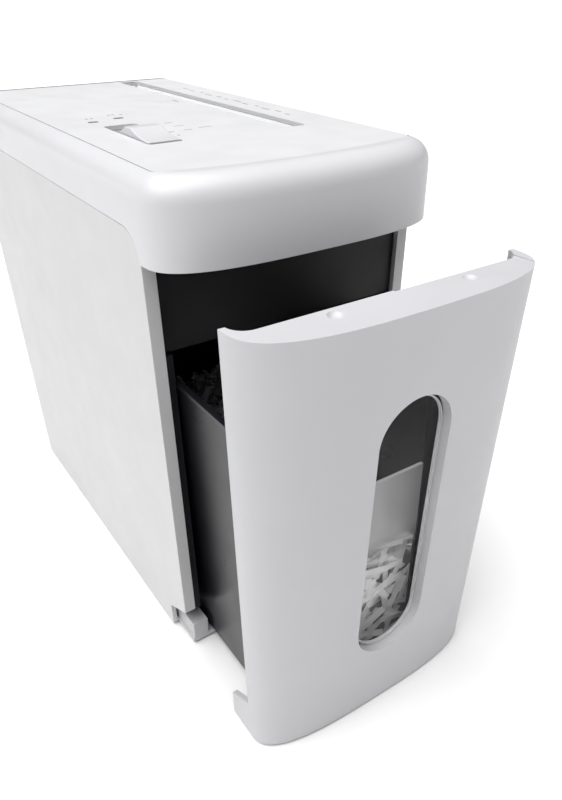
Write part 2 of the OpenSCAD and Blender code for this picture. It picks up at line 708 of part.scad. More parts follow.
module idler_shaft() in_mech() color("#b4b6ba")
  rod_y(idler_x, shaft_z, idler_r, plate_y1 + 0.1, idler_y + gear_t + 3);
module idler_gear() {
  in_mech() color("#d8d4c6") {
    gear(idler_x, idler_small_n, drive_m, 180 / idler_small_n, drive_y - 0.6, idler_r, 4);
    difference() {
      gear(idler_x, idler_big_n, motor_m, 180, idler_y - 0.5, idler_r, 5);
      for (i = [0 : 4]) rod_y(idler_x + 12 * cos(i * 72), shaft_z + 12 * sin(i * 72), 2.6,
        idler_y - 1, idler_y + gear_t + 1);
    }
    difference() {
      rod_y(idler_x, shaft_z, 4.6, drive_y + gear_t - 0.7, idler_y - 0.4);
      rod_y(idler_x, shaft_z, idler_r, drive_y, idler_y + 1);
    }
  }
}
cover_y1 = idler_y + gear_t + 3.6;
module gear_cover() {
  in_mech() color("#3a3c40") difference() {
    union() {
      difference() {
        slab(motor_x - 10, shaft_b_x + 20, plate_y1 + plate_t + 1.2, cover_y1, mech_z0 - 1, mech_z1 + 1);
        slab(motor_x - 8, shaft_b_x + 18, plate_y1 + plate_t, cover_y1 - 2, mech_z0 + 1, mech_z1 - 1);
      }
      rod_y(idler_x, shaft_z, 6, idler_y + gear_t + 0.6, cover_y1 + 1.4);
    }
    rod_y(idler_x, shaft_z, idler_r + run_clear, idler_y, cover_y1 - 0.2);
  }
}
module comb(bar_x0, bar_x1, tip, first, n) {
  union() {
    slab(bar_x0, bar_x1, plate_y0 + plate_t, plate_y1, shaft_z - 6, shaft_z + 6);
    for (i = [0 : n - 1]) {
      y = first + i * disc_pitch + disc_w + 0.6;
      slab(min(tip, bar_x1 - 1), max(tip, bar_x0 + 1), y, y + disc_pitch - disc_w - 1.2,
        shaft_z - 2, shaft_z + 2);
    }
  }
}
module comb_left() {
  edge = shaft_a_x - disc_r - 0.5;
  in_mech() color("#9a9ca0") comb(edge - 2.6, edge, shaft_a_x - core_r - 0.4, cut_y0 + 1.5, disc_n - 1);
}
module comb_right() {
  edge = shaft_b_x + disc_r + 0.5;
  in_mech() color("#9a9ca0")
    comb(edge, edge + 2.6, shaft_b_x + core_r + 0.4, cut_y0 + 1.5 + disc_pitch / 2, disc_n - 2);
}
motor_wall = 2;
motor_y1 = plate_y1 - 0.2;
motor_y0 = motor_y1 - motor_l;
module motor_can() {
  in_mech() color("#a9abb0") difference() {
    rod_y(motor_x, shaft_z, motor_r, motor_y0, motor_y1);
    rod_y(motor_x, shaft_z, motor_r - motor_wall, motor_y0 - 1, motor_y1 - 3);
    rod_y(motor_x, shaft_z, motor_shaft_r + run_clear, motor_y0, motor_y1 + 1);
    for (i = [0 : 5])
      rod_y(motor_x + 15 * cos(i * 60), shaft_z + 15 * sin(i * 60), 2.5, motor_y1 - 5, motor_y1 + 1);
  }
}
module motor_stator() {
  in_mech() color("#8c5a34") difference() {
    rod_y(motor_x, shaft_z, motor_r - motor_wall - 0.1, motor_y0 + 14, motor_y1 - 14);
    rod_y(motor_x, shaft_z, 14.6, motor_y0, motor_y1);
  }
}
module motor_end_cap() {
  in_mech() color("#3a3c40") difference() {
    union() {
      rod_y(motor_x, shaft_z, motor_r, motor_y0 - 4, motor_y0 - seat_gap);
      rod_y(motor_x, shaft_z, 7, motor_y0 - 8, motor_y0 - 3);
    }
    rod_y(motor_x, shaft_z, motor_shaft_r + run_clear, motor_y0 - 7, motor_y0 + 1);
    for (i = [0 : 5])
      rod_y(motor_x + 15 * cos(i * 60), shaft_z + 15 * sin(i * 60), 2.5, motor_y0 - 5, motor_y0 + 1);
  }
}
module motor_rotor() {
  in_mech() color("#7d8086") union() {
    rod_y(motor_x, shaft_z, motor_shaft_r, motor_y0 - 6, idler_y + gear_t + 0.6);
    rod_y(motor_x, shaft_z, 14, motor_y0 + 14, motor_y1 - 16);
    rod_y(motor_x, shaft_z, 8, motor_y0 + 4, motor_y0 + 12);
  }
}
module motor_pinion() in_mech() color("#b4b6ba")
  gear(motor_x, pinion_n, motor_m, 180 / pinion_n, idler_y - 0.5, motor_shaft_r, 3.2);
board_x = -64;
board_y0 = 158;
board_y1 = 256;
module control_board() {
  in_frame() color("#20603a") {
    slab(board_x, board_x + 1.6, board_y0, board_y1, mech_z0 + 2, mech_z1 - 6);
    for (y = [board_y0 + 6, board_y1 - 6]) slab(board_x - 3, board_x, y - 3, y + 3, mech_z0 + 2, mech_z0 + 14);
  }
}
module board_capacitor() {
  in_frame() color("#30343c") translate([board_x + 1.7, board_y0 + 22, shaft_z]) rotate([0, 90, 0])
    cylinder(r = 8, h = 22);
}
module board_relay() in_frame() color("#e8e9ea")
  slab(board_x + 1.7, board_x + 18, board_y0 + 40, board_y0 + 62, mech_z0 + 8, mech_z0 + 24);
module heat_sink() {
  in_frame() color("#b9bbc0") {
    slab(board_x + 1.7, board_x + 4.4, board_y0 + 66, board_y1 - 6, mech_z0 + 8, mech_z1 - 12);
    for (i = [0 : 4]) slab(board_x + 4, board_x + 15, board_y0 + 66 + i * 5.6, board_y0 + 67.4 + i * 5.6,
      mech_z0 + 8, mech_z1 - 12);
  }
}
plunger_len = 18;
plunger_low = front_h + 1.4;
module plunger(s) {
  translate([s * plunger_x, plunger_y, 0]) {
    post(0, 0, plunger_r, plunger_low + 1.2, plunger_low + plunger_len);
    translate([0, 0, plunger_low]) cylinder(r1 = plunger_r - 1.2, r2 = plunger_r, h = 1.21);
    post(0, 0, plunger_r + 1.6, plate_z + 2.3, plate_z + 4);
  }
}
module interlock_plunger() in_frame() color("#d8d8da") plunger(-1);
module catch_plunger() in_frame() color("#d8d8da") plunger(1);
module interlock_switch() {
  z0 = plunger_low + plunger_len + 4;
  in_frame() color("#3a3c40") {
    for (s = [-1, 1]) slab(s * plunger_x - 9, s * plunger_x + 9, plunger_y - 4, plunger_y + 5, z0, z0 + 9);
  }
}
module paper_sensors() {
  in_frame() color("#30343c") {
    for (s = [-1, 1]) {
      translate([slot_x + s * 7, 164, funnel_z - 4.25]) cube([4, 8, 6.5], center = true);
    }
  }
}

// ---- Drawer ----

function front_ring(t, z, y1) = at_z(concat(bowed(front_half(z) - t, front_bow(z) - t),
  [[front_half(z) - t, y1], [-front_half(z) + t, y1]]), z);
module front_solid(t, z0, z1, y1) loft([for (z = [z0, z1]) front_ring(t, z, y1)]);
tab_t = front_wall;
dimple_r = 5;
front_z0 = foot_h;
module side_tab() {
  intersection() {
    loft([for (z = [front_z0, front_h]) at_z([[front_half(z) - tab_t, -1.5], [front_half(z), -1.5],
      [front_half(z), notch_deep], [front_half(z) - tab_t, notch_deep]], z)]);
    along_x(0, body_w) polygon([[-2, front_z0], [notch_deep - 3.6, front_z0], [notch_deep - 3.6, notch_z],
      [0, notch_rise - 2], [-2, notch_rise - 1]]);
  }
}
join_x = 46;
join_z = [60, 112, 164];
boss_r = 4.2;
module join_bosses() {
  intersection() {
    front_solid(front_wall - 0.3, front_z0 + 10, front_h - 10, 1);
    for (z = join_z) {
      for (s = [-1, 1]) rod_y(s * join_x, z, boss_r, -front_bow_top, bin_y0 - 0.1);
    }
  }
}
module drawer_front() {
  ledge_y = -front_bow_top + ledge_depth;
  in_drawer() color("#f0f0f2") difference() {
    union() {
      difference() {
        front_solid(0, front_z0, front_h, 0);
        front_solid(front_wall, front_z0 + front_wall, front_h - front_wall, 1);
        translate([0, 0, front_h - 5]) linear_extrude(6) {
          translate([0, ledge_y + 14]) rounded_rect(2 * (front_half_top - front_wall), 28, 9);
        }
      }
      intersection() {
        difference() {
          front_solid(front_wall - 0.2, window_z0 - 9, window_z1 + 9, 1);
          front_solid(window_deep, window_z0 - 10, window_z1 + 10, 2);
        }
        along_y(-40, 0) obround(window_w + 6, window_z0 - 3, window_z1 + 3);
      }
      mirror_x() side_tab();
      join_bosses();
    }
    for (z = join_z) {
      for (s = [-1, 1]) rod_y(s * join_x, z, screw_r - 0.1, bin_y0 - 8, bin_y0 + 1);
    }
    along_y(-50, 2) obround(window_w, window_z0, window_z1);
    for (s = [-1, 1]) translate([s * plunger_x, plunger_y, front_h + 3.2]) sphere(r = dimple_r);
  }
}
lens_t = 1.8;
module window_lens() {
  in_drawer() color([0.8, 0.85, 0.9, 0.3]) intersection() {
    difference() {
      front_solid(window_deep + 0.1, window_z0 - 9, window_z1 + 9, 1);
      front_solid(window_deep + lens_t, window_z0 - 10, window_z1 + 10, 2);
    }
    along_y(-40, 0) obround(window_w + 5, window_z0 - 2.5, window_z1 + 2.5);
  }
}
bin_y0 = -6.5;
bin_rear_base = depth_base - 18;
bin_rear_top = depth_base + 1;
bin_z0 = foot_h + base_t + 1.4;
bin_r = 11;
rim_w = 1.4;
function bin_ring(t, z) = let (yr = bin_rear_base + (bin_rear_top - bin_rear_base) * z / bin_h)
  at_z(box_plan(bin_half(z) - t, bin_y0 + t, yr - t, max(bin_r - t, 1), max(bin_r - t, 1)), z);
pane_half = 30;
pane_z0 = 24;
module waste_bin() {
  in_drawer() color("#232325") difference() {
    union() {
      loft([bin_ring(0, bin_z0), bin_ring(0, bin_h - 2.5), bin_ring(-rim_w, bin_h - 2.5),
        bin_ring(-rim_w, bin_h)]);
    }
    loft([bin_ring(bin_wall, bin_z0 + bin_wall), bin_ring(bin_wall, bin_h + 1)]);
    slab(-pane_half, pane_half, bin_y0 - 3, bin_y0 + bin_wall + 1, pane_z0, bin_h + 2);
    for (z = join_z) {
      for (s = [-1, 1]) rod_y(s * join_x, z, screw_r + 0.1, bin_y0 - 1, bin_y0 + bin_wall + 1);
    }
  }
}
module bin_pane() {
  in_drawer() color([0.7, 0.75, 0.8, 0.35]) union() {
    slab(-pane_half + 0.2, pane_half - 0.2, bin_y0, bin_y0 + bin_wall - 0.2, pane_z0 + 0.2, pane_h);
    slab(-pane_half + 0.2, pane_half - 0.2, bin_y0 - 1.2, bin_y0 + bin_wall - 0.2, pane_h - 2.4, pane_h);
  }
}
module bin_clips() {
  in_drawer() color("#f0f0f2") mirror_x() {
    difference() {
      slab(bin_half_top - 4.6, bin_half_top + 1, bin_y0 - 4, 22, bin_h + 0.1, bin_h + 13);
      slab(bin_half_top - 5.6, bin_half_top - 1, bin_y0 - 5, 23, bin_h + 2.4, bin_h + 14);
    }
  }
}
module bin_glides() {
  in_drawer() color("#e8e9ea") {
    for (y = [20, 200]) {
      for (s = [-1, 1]) slab(s * 44 - 6, s * 44 + 6, y, y + 24, foot_h + base_t + 0.4, bin_z0);
    }
  }
}
module drawer_screws() {
  in_drawer() color("#8a8b8e") {
    for (z = join_z) {
      for (s = [-1, 1])
        translate([s * join_x, bin_y0 + bin_wall + seat_gap, z]) rotate([90, 0, 0]) pan_screw(7.5);
    }
  }
}
pile_h = 78;
pile_gap = 2.2;
module shred_pile() {
  in_drawer() color("#f4f4f4") loft([for (i = [0 : 3]) let (z = bin_z0 + bin_wall + 0.4 + i * pile_h / 3,
    t = bin_wall + pile_gap + (i == 3 ? 22 : 0)) bin_ring(t, z)]);
}

body_shell();
body_liner();
base_tray();
feet();
base_screws();
rear_screws();
rear_grille();
cord_gland();
head_cover();
skirt_plate();
top_panel();
entry_chute();
switch_tray();
switch_block();
switch_slider();
indicator_lenses();
indicator_board();
mech_front_cover();
mech_floor();
front_plate();
rear_plate();
tie_rods();
shaft_bushes();
cutter_shaft_a();
cutter_shaft_b();
sync_gear_a();
sync_gear_b();
drive_gear();
idler_shaft();
idler_gear();
gear_cover();
comb_left();
comb_right();
motor_can();
motor_stator();
motor_end_cap();
motor_rotor();
motor_pinion();
control_board();
board_capacitor();
board_relay();
heat_sink();
plate_screws();
interlock_switch();
interlock_plunger();
catch_plunger();
paper_sensors();
drawer_front();
window_lens();
waste_bin();
bin_pane();
bin_clips();
bin_glides();
drawer_screws();
shred_pile();
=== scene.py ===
import json
import math
import random

import bmesh
import bpy
from mathutils import Matrix, Vector


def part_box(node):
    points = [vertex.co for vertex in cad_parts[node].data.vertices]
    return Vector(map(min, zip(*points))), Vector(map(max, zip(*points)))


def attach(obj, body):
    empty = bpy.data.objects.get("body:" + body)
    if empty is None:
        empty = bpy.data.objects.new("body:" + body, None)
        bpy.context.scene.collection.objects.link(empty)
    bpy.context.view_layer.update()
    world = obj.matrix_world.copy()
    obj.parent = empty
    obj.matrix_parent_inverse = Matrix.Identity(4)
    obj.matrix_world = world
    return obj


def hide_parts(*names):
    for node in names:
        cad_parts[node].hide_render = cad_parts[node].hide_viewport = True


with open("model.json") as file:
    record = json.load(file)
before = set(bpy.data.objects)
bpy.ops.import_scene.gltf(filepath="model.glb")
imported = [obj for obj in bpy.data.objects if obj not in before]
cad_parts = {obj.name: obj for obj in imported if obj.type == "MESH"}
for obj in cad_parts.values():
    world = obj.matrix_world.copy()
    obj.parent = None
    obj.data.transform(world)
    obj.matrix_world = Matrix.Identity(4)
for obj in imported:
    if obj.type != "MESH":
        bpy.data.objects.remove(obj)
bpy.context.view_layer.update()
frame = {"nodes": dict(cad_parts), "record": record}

MM = 0.001

# ---------------------------------------------------------------- measures, in metres, from the frame

head_lo, head_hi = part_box("head_cover")
body_lo, body_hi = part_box("body_shell")
base_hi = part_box("base_tray")[1]
front_lo, front_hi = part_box("drawer_front")
bin_lo, bin_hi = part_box("waste_bin")
panel_lo, panel_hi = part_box("top_panel")
slider_lo, slider_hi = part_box("switch_slider")
tray_lo, tray_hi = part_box("switch_tray")
pane_lo, pane_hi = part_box("bin_pane")
chute_lo, chute_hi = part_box("entry_chute")
lamps_lo, lamps_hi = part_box("indicator_lenses")
gland_lo, gland_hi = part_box("cord_gland")
grille_lo, grille_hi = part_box("rear_grille")

CURVE_POWER = 3.0
FRONT_STEPS = 96
CORNER_STEPS = 12

floor_z = 0.0
foot_h = body_lo.z
face_y = body_lo.y
top_z = head_hi.z
skirt_z = head_lo.z
seam_z = body_hi.z
head_half = head_hi.x
head_bow = face_y - head_lo.y
rear_top_y = head_hi.y
rear_base_y = base_hi.y + 3.1 * MM
case_wall = 2.8 * MM
flange_w = 6.7 * MM
shoulder_r = 16 * MM
rear_r = 9 * MM
half_base = 73.75 * MM
half_slope = (body_hi.x - half_base) / seam_z
head_wall = 2.6 * MM
top_fillet = 12 * MM
panel_t = 2.6 * MM
panel_half = panel_hi.x + 0.5 * MM
panel_r = 8 * MM
panel_front = face_y - 8 * MM
panel_bow = 6.5 * MM
panel_rear = panel_hi.y + 0.5 * MM
ledge_w = 4 * MM
seam_gap = 0.3 * MM
notch_z = 17.5 * MM
notch_deep = 20.6 * MM
notch_rise = 29 * MM
move_gap = 0.6 * MM
head_rear_r = rear_r + 4 * MM
screw_x = 58 * MM
screw_low = 30 * MM
screw_top = seam_z - 26 * MM
screw_bore = 1.8 * MM
gland_bore = 6.3 * MM

front_z0 = front_lo.z
front_h = front_hi.z
half_top = front_hi.x
half_bottom = 74.1 * MM
tab_reach = 17 * MM
wing_y = front_hi.y - tab_reach
bow_top = wing_y - front_lo.y
bow_bottom = 20.4 * MM
front_wall = 3 * MM
ledge_depth = 23 * MM
window_w = 43 * MM
window_z0 = 43 * MM
window_z1 = 203 * MM
window_deep = 5.5 * MM
plunger_x = 37 * MM
plunger_y = 14.5 * MM
dimple_r = 5 * MM
tab_rise = 27 * MM
ledge_step = 1.4 * MM
lens_t = 1.8 * MM
lens_rim_gap = 1.5 * MM
lens_rim_t = 0.9 * MM


def half_w(z):
    return half_base + half_slope * z


def rear_y(z):
    return rear_base_y + (rear_top_y - rear_base_y) * z / top_z


# ---------------------------------------------------------------- outlines


def signed_power(value, power):
    return math.copysign(abs(value) ** power, value)


def bowed(half, bow, y0, steps=FRONT_STEPS):
    points = []
    for i in range(steps + 1):
        t = math.pi * (1 + i / steps)
        x = half * signed_power(math.cos(t), 2 / CURVE_POWER)
        y = bow * signed_power(math.sin(t), 2 / CURVE_POWER)
        points.append((x, y0 + y))
    return points


def arc(cx, cy, r, a0, a1, steps=CORNER_STEPS):
    points = []
    for i in range(steps + 1):
        a = math.radians(a0 + (a1 - a0) * i / steps)
        points.append((cx + r * math.cos(a), cy + r * math.sin(a)))
    return points


def bowed_plan(half, bow, y0, y1, r):
    return bowed(half, bow, y0) + arc(half - r, y1 - r, r, 0, 90) + arc(-half + r, y1 - r, r, 90, 180)


def box_plan(half, y0, y1, rf, rb):
    return (
        arc(-half + rf, y0 + rf, rf, 180, 270)
        + arc(half - rf, y0 + rf, rf, 270, 360)
        + arc(half - rb, y1 - rb, rb, 0, 90)
        + arc(-half + rb, y1 - rb, rb, 90, 180)
    )


def rounded_rect(cx, cy, w, l, r):
    return (
        arc(cx - w / 2 + r, cy - l / 2 + r, r, 180, 270, 8)
        + arc(cx + w / 2 - r, cy - l / 2 + r, r, 270, 360, 8)
        + arc(cx + w / 2 - r, cy + l / 2 - r, r, 0, 90, 8)
        + arc(cx - w / 2 + r, cy + l / 2 - r, r, 90, 180, 8)
    )


def obround(w, z0, z1):
    r = w / 2
    return arc(0, z0 + r, r, 180, 360, 40) + arc(0, z1 - r, r, 0, 180, 40)


def panel_outline(d):
    left = arc(-panel_half + panel_r, panel_front + panel_r, panel_r - d, 180, 255, 10)
    front = []
    for i in range(1, 24):
        u = -1 + 2 * i / 24
        front.append((u * (panel_half - panel_r), panel_front + d - panel_bow * (1 - u * u)))
    right = arc(panel_half - panel_r, panel_front + panel_r, panel_r - d, 285, 360, 10)
    back = arc(panel_half - panel_r, panel_rear - panel_r, panel_r - d, 0, 90, 10)
    back += arc(-panel_half + panel_r, panel_rear - panel_r, panel_r - d, 90, 180, 10)
    return left + front + right + back


# ---------------------------------------------------------------- solids


def new_object(name, verts, faces):
    mesh = bpy.data.meshes.new(name)
    mesh.from_pydata([tuple(v) for v in verts], [], faces)
    mesh.validate()
    obj = bpy.data.objects.new(name, mesh)
    bpy.context.scene.collection.objects.link(obj)
    return obj


def tidy_mesh(obj, merge=0.01 * MM):
    bm = bmesh.new()
    bm.from_mesh(obj.data)
    bmesh.ops.remove_doubles(bm, verts=bm.verts, dist=merge)
    bmesh.ops.recalc_face_normals(bm, faces=bm.faces)
    bm.to_mesh(obj.data)
    bm.free()
    return obj


def loft(name, rings):
    n = len(rings[0])
    verts = [p for ring in rings for p in ring]
    faces = [list(range(n))[::-1]]
    for i in range(len(rings) - 1):
        for j in range(n):
            k = (j + 1) % n
            faces.append([i * n + j, i * n + k, (i + 1) * n + k, (i + 1) * n + j])
    faces.append([(len(rings) - 1) * n + j for j in range(n)])
    return tidy_mesh(new_object(name, verts, faces))


def at_z(points, z):
    return [(p[0], p[1], z) for p in points]


def prism_z(name, points, z0, z1):
    return loft(name, [at_z(points, z0), at_z(points, z1)])


def prism_y(name, points, y0, y1):
    """Outline in x and z, extruded along y."""
    return loft(name, [[(p[0], y, p[1]) for p in points] for y in (y0, y1)])


def prism_x(name, points, x0, x1):
    """Outline in y and z, extruded along x."""
    return loft(name, [[(x, p[0], p[1]) for p in points] for x in (x0, x1)])


def block(name, x0, x1, y0, y1, z0, z1):
    return prism_z(name, [(x0, y0), (x1, y0), (x1, y1), (x0, y1)], z0, z1)


def ball(name, centre, r):
    rings = []
    for i in range(1, 16):
        a = math.pi * i / 16 - math.pi / 2
        ring = arc(centre[0], centre[1], r * math.cos(a), 0, 360 - 360 / 32, 31)
        rings.append(at_z(ring, centre[2] + r * math.sin(a)))
    return loft(name, rings)


def rod_y(name, x, z, r, y0, y1):
    return prism_y(name, arc(x, z, r, 0, 360 - 360 / 32, 31), y0, y1)


def boolean(obj, operation, *others):
    for other in others:
        modifier = obj.modifiers.new("cut", "BOOLEAN")
        modifier.operation = operation
        modifier.solver = "EXACT"
        modifier.object = other
        apply_modifiers(obj)
        bpy.data.objects.remove(other)
    return obj


def apply_modifiers(obj):
    bpy.context.view_layer.update()
    evaluated = obj.evaluated_get(bpy.context.evaluated_depsgraph_get())
    mesh = bpy.data.meshes.new_from_object(evaluated)
    old = obj.data
    obj.modifiers.clear()
    obj.data = mesh
    bpy.data.meshes.remove(old)
    return obj


def soften(obj, width=0.3 * MM, angle=38, segments=2):
    """Rounds the sharp edges a little, as a mould does, and keeps flat faces flat."""
    if width > 0:
        modifier = obj.modifiers.new("edge", "BEVEL")
        modifier.width = width
        modifier.segments = segments
        modifier.limit_method = "ANGLE"
        modifier.angle_limit = math.radians(angle)
        modifier.use_clamp_overlap = True
        apply_modifiers(obj)
    obj.data.polygons.foreach_set("use_smooth", [True] * len(obj.data.polygons))
    obj.data.set_sharp_from_angle(angle=math.radians(angle))
    modifier = obj.modifiers.new("normals", "WEIGHTED_NORMAL")
    modifier.keep_sharp = True
    modifier.weight = 60
    return apply_modifiers(obj)


def dress(obj, body, material, replaced=()):
    obj.data.materials.clear()
    obj.data.materials.append(material)
    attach(obj, body)
    if replaced:
        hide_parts(*replaced)
    return obj


# ---------------------------------------------------------------- materials


def node_tree(name):
    material = bpy.data.materials.new(name)
    material.use_nodes = True
    tree = material.node_tree
    shader = tree.nodes["Principled BSDF"]
    return material, tree, shader


def add_noise(tree, scale, detail=3.0, stretch=(1, 1, 1)):
    coords = tree.nodes.new("ShaderNodeTexCoord")
    mapping = tree.nodes.new("ShaderNodeMapping")
    mapping.inputs["Scale"].default_value = stretch
    noise = tree.nodes.new("ShaderNodeTexNoise")
    noise.inputs["Scale"].default_value = scale
    noise.inputs["Detail"].default_value = detail
    tree.links.new(coords.outputs["Object"], mapping.inputs["Vector"])
    tree.links.new(mapping.outputs["Vector"], noise.inputs["Vector"])
    return noise.outputs["Fac"]


def add_ramp(tree, factor, low, high, p0=0.35, p1=0.65):
    ramp = tree.nodes.new("ShaderNodeValToRGB")
    ramp.color_ramp.elements[0].position = p0
    ramp.color_ramp.elements[0].color = (*low, 1)
    ramp.color_ramp.elements[1].position = p1
    ramp.color_ramp.elements[1].color = (*high, 1)
    tree.links.new(factor, ramp.inputs["Fac"])
    return ramp.outputs["Color"]


def add_range(tree, factor, low, high):
    node = tree.nodes.new("ShaderNodeMapRange")
    node.inputs["From Min"].default_value = 0.3
    node.inputs["From Max"].default_value = 0.7
    node.inputs["To Min"].default_value = low
    node.inputs["To Max"].default_value = high
    tree.links.new(factor, node.inputs["Value"])
    return node.outputs["Result"]


def add_bump(tree, shader, height, strength, distance):
    bump = tree.nodes.new("ShaderNodeBump")
    bump.inputs["Strength"].default_value = strength
    bump.inputs["Distance"].default_value = distance
    tree.links.new(height, bump.inputs["Height"])
    tree.links.new(bump.outputs["Normal"], shader.inputs["Normal"])


def shade(rgb, amount):
    return tuple(max(0.0, min(1.0, c * amount)) for c in rgb)


def plastic(name, rgb, rough, grain=2400.0, bump=0.05, vary=0.015, coat=0.0, spec=0.5):
    """Moulded plastic: a faint tone drift, uneven sheen and a fine spark-eroded grain."""
    material, tree, shader = node_tree(name)
    tone = add_noise(tree, 14.0, 4.0)
    colour = add_ramp(tree, tone, shade(rgb, 1 - vary), shade(rgb, 1 + vary))
    tree.links.new(colour, shader.inputs["Base Color"])
    smudge = add_noise(tree, 60.0, 5.0)
    tree.links.new(add_range(tree, smudge, rough * 0.9, rough * 1.12), shader.inputs["Roughness"])
    add_bump(tree, shader, add_noise(tree, grain, 2.0), bump, 0.02 * MM)
    shader.inputs["IOR"].default_value = 1.5
    shader.inputs["Specular IOR Level"].default_value = spec
    shader.inputs["Coat Weight"].default_value = coat
    shader.inputs["Coat Roughness"].default_value = 0.06
    return material


def metal(name, rgb, rough, stretch=(1, 40, 1), bump=0.08):
    """Drawn or ground metal: streaks along the grain in colour, sheen and height."""
    material, tree, shader = node_tree(name)
    streak = add_noise(tree, 90.0, 4.0, stretch)
    colour = add_ramp(tree, streak, shade(rgb, 0.88), shade(rgb, 1.08))
    tree.links.new(colour, shader.inputs["Base Color"])
    tree.links.new(add_range(tree, streak, rough * 0.8, rough * 1.25), shader.inputs["Roughness"])
    add_bump(tree, shader, streak, bump, 0.02 * MM)
    shader.inputs["Metallic"].default_value = 1.0
    return material


def paper(name, rgb):
    """Cut office paper: fibre mottling and a soft tooth."""
    material, tree, shader = node_tree(name)
    fibre = add_noise(tree, 900.0, 6.0)
    sheet = add_noise(tree, 45.0, 2.0)
    mixed = tree.nodes.new("ShaderNodeMath")
    mixed.operation = "MULTIPLY_ADD"
    mixed.inputs[1].default_value = 0.35
    tree.links.new(fibre, mixed.inputs[0])
    tree.links.new(sheet, mixed.inputs[2])
    colour = add_ramp(tree, mixed.outputs["Value"], shade(rgb, 0.86), rgb, 0.35, 0.8)
    tree.links.new(colour, shader.inputs["Base Color"])
    shader.inputs["Roughness"].default_value = 0.85
    add_bump(tree, shader, fibre, 0.25, 0.05 * MM)
    return material


def clear(name, rgb, alpha, rough=0.03, spec=0.5):
    """Clear moulded plastic with faint flow marks."""
    material, tree, shader = node_tree(name)
    flow = add_noise(tree, 25.0, 3.0, (1, 1, 4))
    colour = add_ramp(tree, flow, shade(rgb, 0.96), rgb)
    tree.links.new(colour, shader.inputs["Base Color"])
    tree.links.new(add_range(tree, flow, rough * 0.7, rough * 1.5), shader.inputs["Roughness"])
    add_bump(tree, shader, flow, 0.02, 0.05 * MM)
    shader.inputs["Specular IOR Level"].default_value = spec
    shader.inputs["Alpha"].default_value = alpha
    return material


def painted_reflection_sheet(name, rgb, clear_alpha, veil_alpha, z0, z1):
    """Clear sheet with a painted reflection: a grey veil, faint below z0, dense above z1."""
    material = clear(name, rgb, veil_alpha, 0.12, 0.5)
    tree = material.node_tree
    coords = tree.nodes.new("ShaderNodeTexCoord")
    axes = tree.nodes.new("ShaderNodeSeparateXYZ")
    tree.links.new(coords.outputs["Object"], axes.inputs["Vector"])
    # Opacity rises with height, so the painted reflection veil covers the upper pane.
    height = tree.nodes.new("ShaderNodeMapRange")
    height.inputs["From Min"].default_value = z0
    height.inputs["From Max"].default_value = z1
    height.inputs["To Min"].default_value = clear_alpha
    height.inputs["To Max"].default_value = veil_alpha
    tree.links.new(axes.outputs["Z"], height.inputs["Value"])
    tree.links.new(height.outputs["Result"], tree.nodes["Principled BSDF"].inputs["Alpha"])
    return material


mats = {
    # One white plastic throughout; the base colours below differ per part as painted light and shade.
    "white_gloss": plastic("white_gloss", (0.565, 0.565, 0.58), 0.33, bump=0.03),
    # drawer_white: darker than the head's white, as painted shade on the drawer front.
    "drawer_white": plastic("drawer_white", (0.485, 0.485, 0.5), 0.36, bump=0.03),
    "white_satin": plastic("white_satin", (0.585, 0.585, 0.592), 0.48, bump=0.1),
    # chute_white: near white, far above the others, as painted light in the entry slot.
    "chute_white": plastic("chute_white", (0.95, 0.95, 0.95), 0.5, bump=0.05),
    # side_white: a little darker than the head's white, as painted shade on the casing's sides.
    "side_white": plastic("side_white", (0.535, 0.535, 0.54), 0.42, bump=0.08),
    "charcoal": plastic("charcoal", (0.005, 0.0048, 0.0065), 0.42, bump=0.06, vary=0.08, spec=0.22),
    "bin_black": plastic("bin_black", (0.007, 0.0068, 0.009), 0.3, bump=0.04, vary=0.05, spec=0.4),
    "grey_plastic": plastic("grey_plastic", (0.46, 0.46, 0.475), 0.4, bump=0.15),
    "clear_lens": clear("clear_lens", (0.3, 0.3, 0.31), 0.035, 0.05, 1.0),
    # lens_edge_painted_highlight: pale and half opaque, a painted highlight along the clear lens edge.
    "lens_edge_painted_highlight": clear("lens_edge_painted_highlight", (0.85, 0.85, 0.86), 0.42, 0.08, 1.0),
    # bin_clear: the grey veil over the pane's upper band is a painted reflection of the bright floor.
    "bin_clear": painted_reflection_sheet("bin_clear", (0.48, 0.48, 0.485), 0.05, 0.74, 0.088, 0.106),
    "indicator": plastic("indicator", (0.3, 0.31, 0.34), 0.18, grain=300.0, bump=0.05, coat=0.5),
    "rubber_foot": plastic("rubber_foot", (0.035, 0.035, 0.037), 0.75, grain=1500.0, bump=0.3, vary=0.1),
    "steel_plate": metal("steel_plate", (0.56, 0.57, 0.58), 0.32, (1, 1, 30)),
    "cutter_steel": metal("cutter_steel", (0.36, 0.37, 0.39), 0.28, (30, 1, 30)),
    "zinc_screw": metal("zinc_screw", (0.6, 0.6, 0.62), 0.35, (6, 6, 6)),
    "bronze_bush": metal("bronze_bush", (0.62, 0.42, 0.2), 0.4, (4, 4, 4)),
    "acetal": plastic("acetal", (0.56, 0.54, 0.49), 0.38, bump=0.1),
    "motor_steel": metal("motor_steel", (0.52, 0.53, 0.55), 0.3, (1, 30, 1)),
    "winding": plastic("winding", (0.34, 0.13, 0.05), 0.35, grain=1200.0, bump=0.5, vary=0.25),
    "dark_part": plastic("dark_part", (0.04, 0.043, 0.05), 0.5, bump=0.2, vary=0.1),
    "circuit_green": plastic("circuit_green", (0.02, 0.13, 0.06), 0.3, grain=900.0, bump=0.2, vary=0.2),
    "heat_alu": metal("heat_alu", (0.7, 0.71, 0.73), 0.35, (1, 1, 24)),
    "paper": paper("paper", (0.95, 0.95, 0.945)),
    # heap_painted_shade: the same paper set dark grey, as painted shade in the gaps between strips.
    "heap_painted_shade": paper("heap_painted_shade", (0.3, 0.3, 0.305)),
}
ink = plastic("ink", (0.3, 0.3, 0.32), 0.5, bump=0.1, vary=0.1)

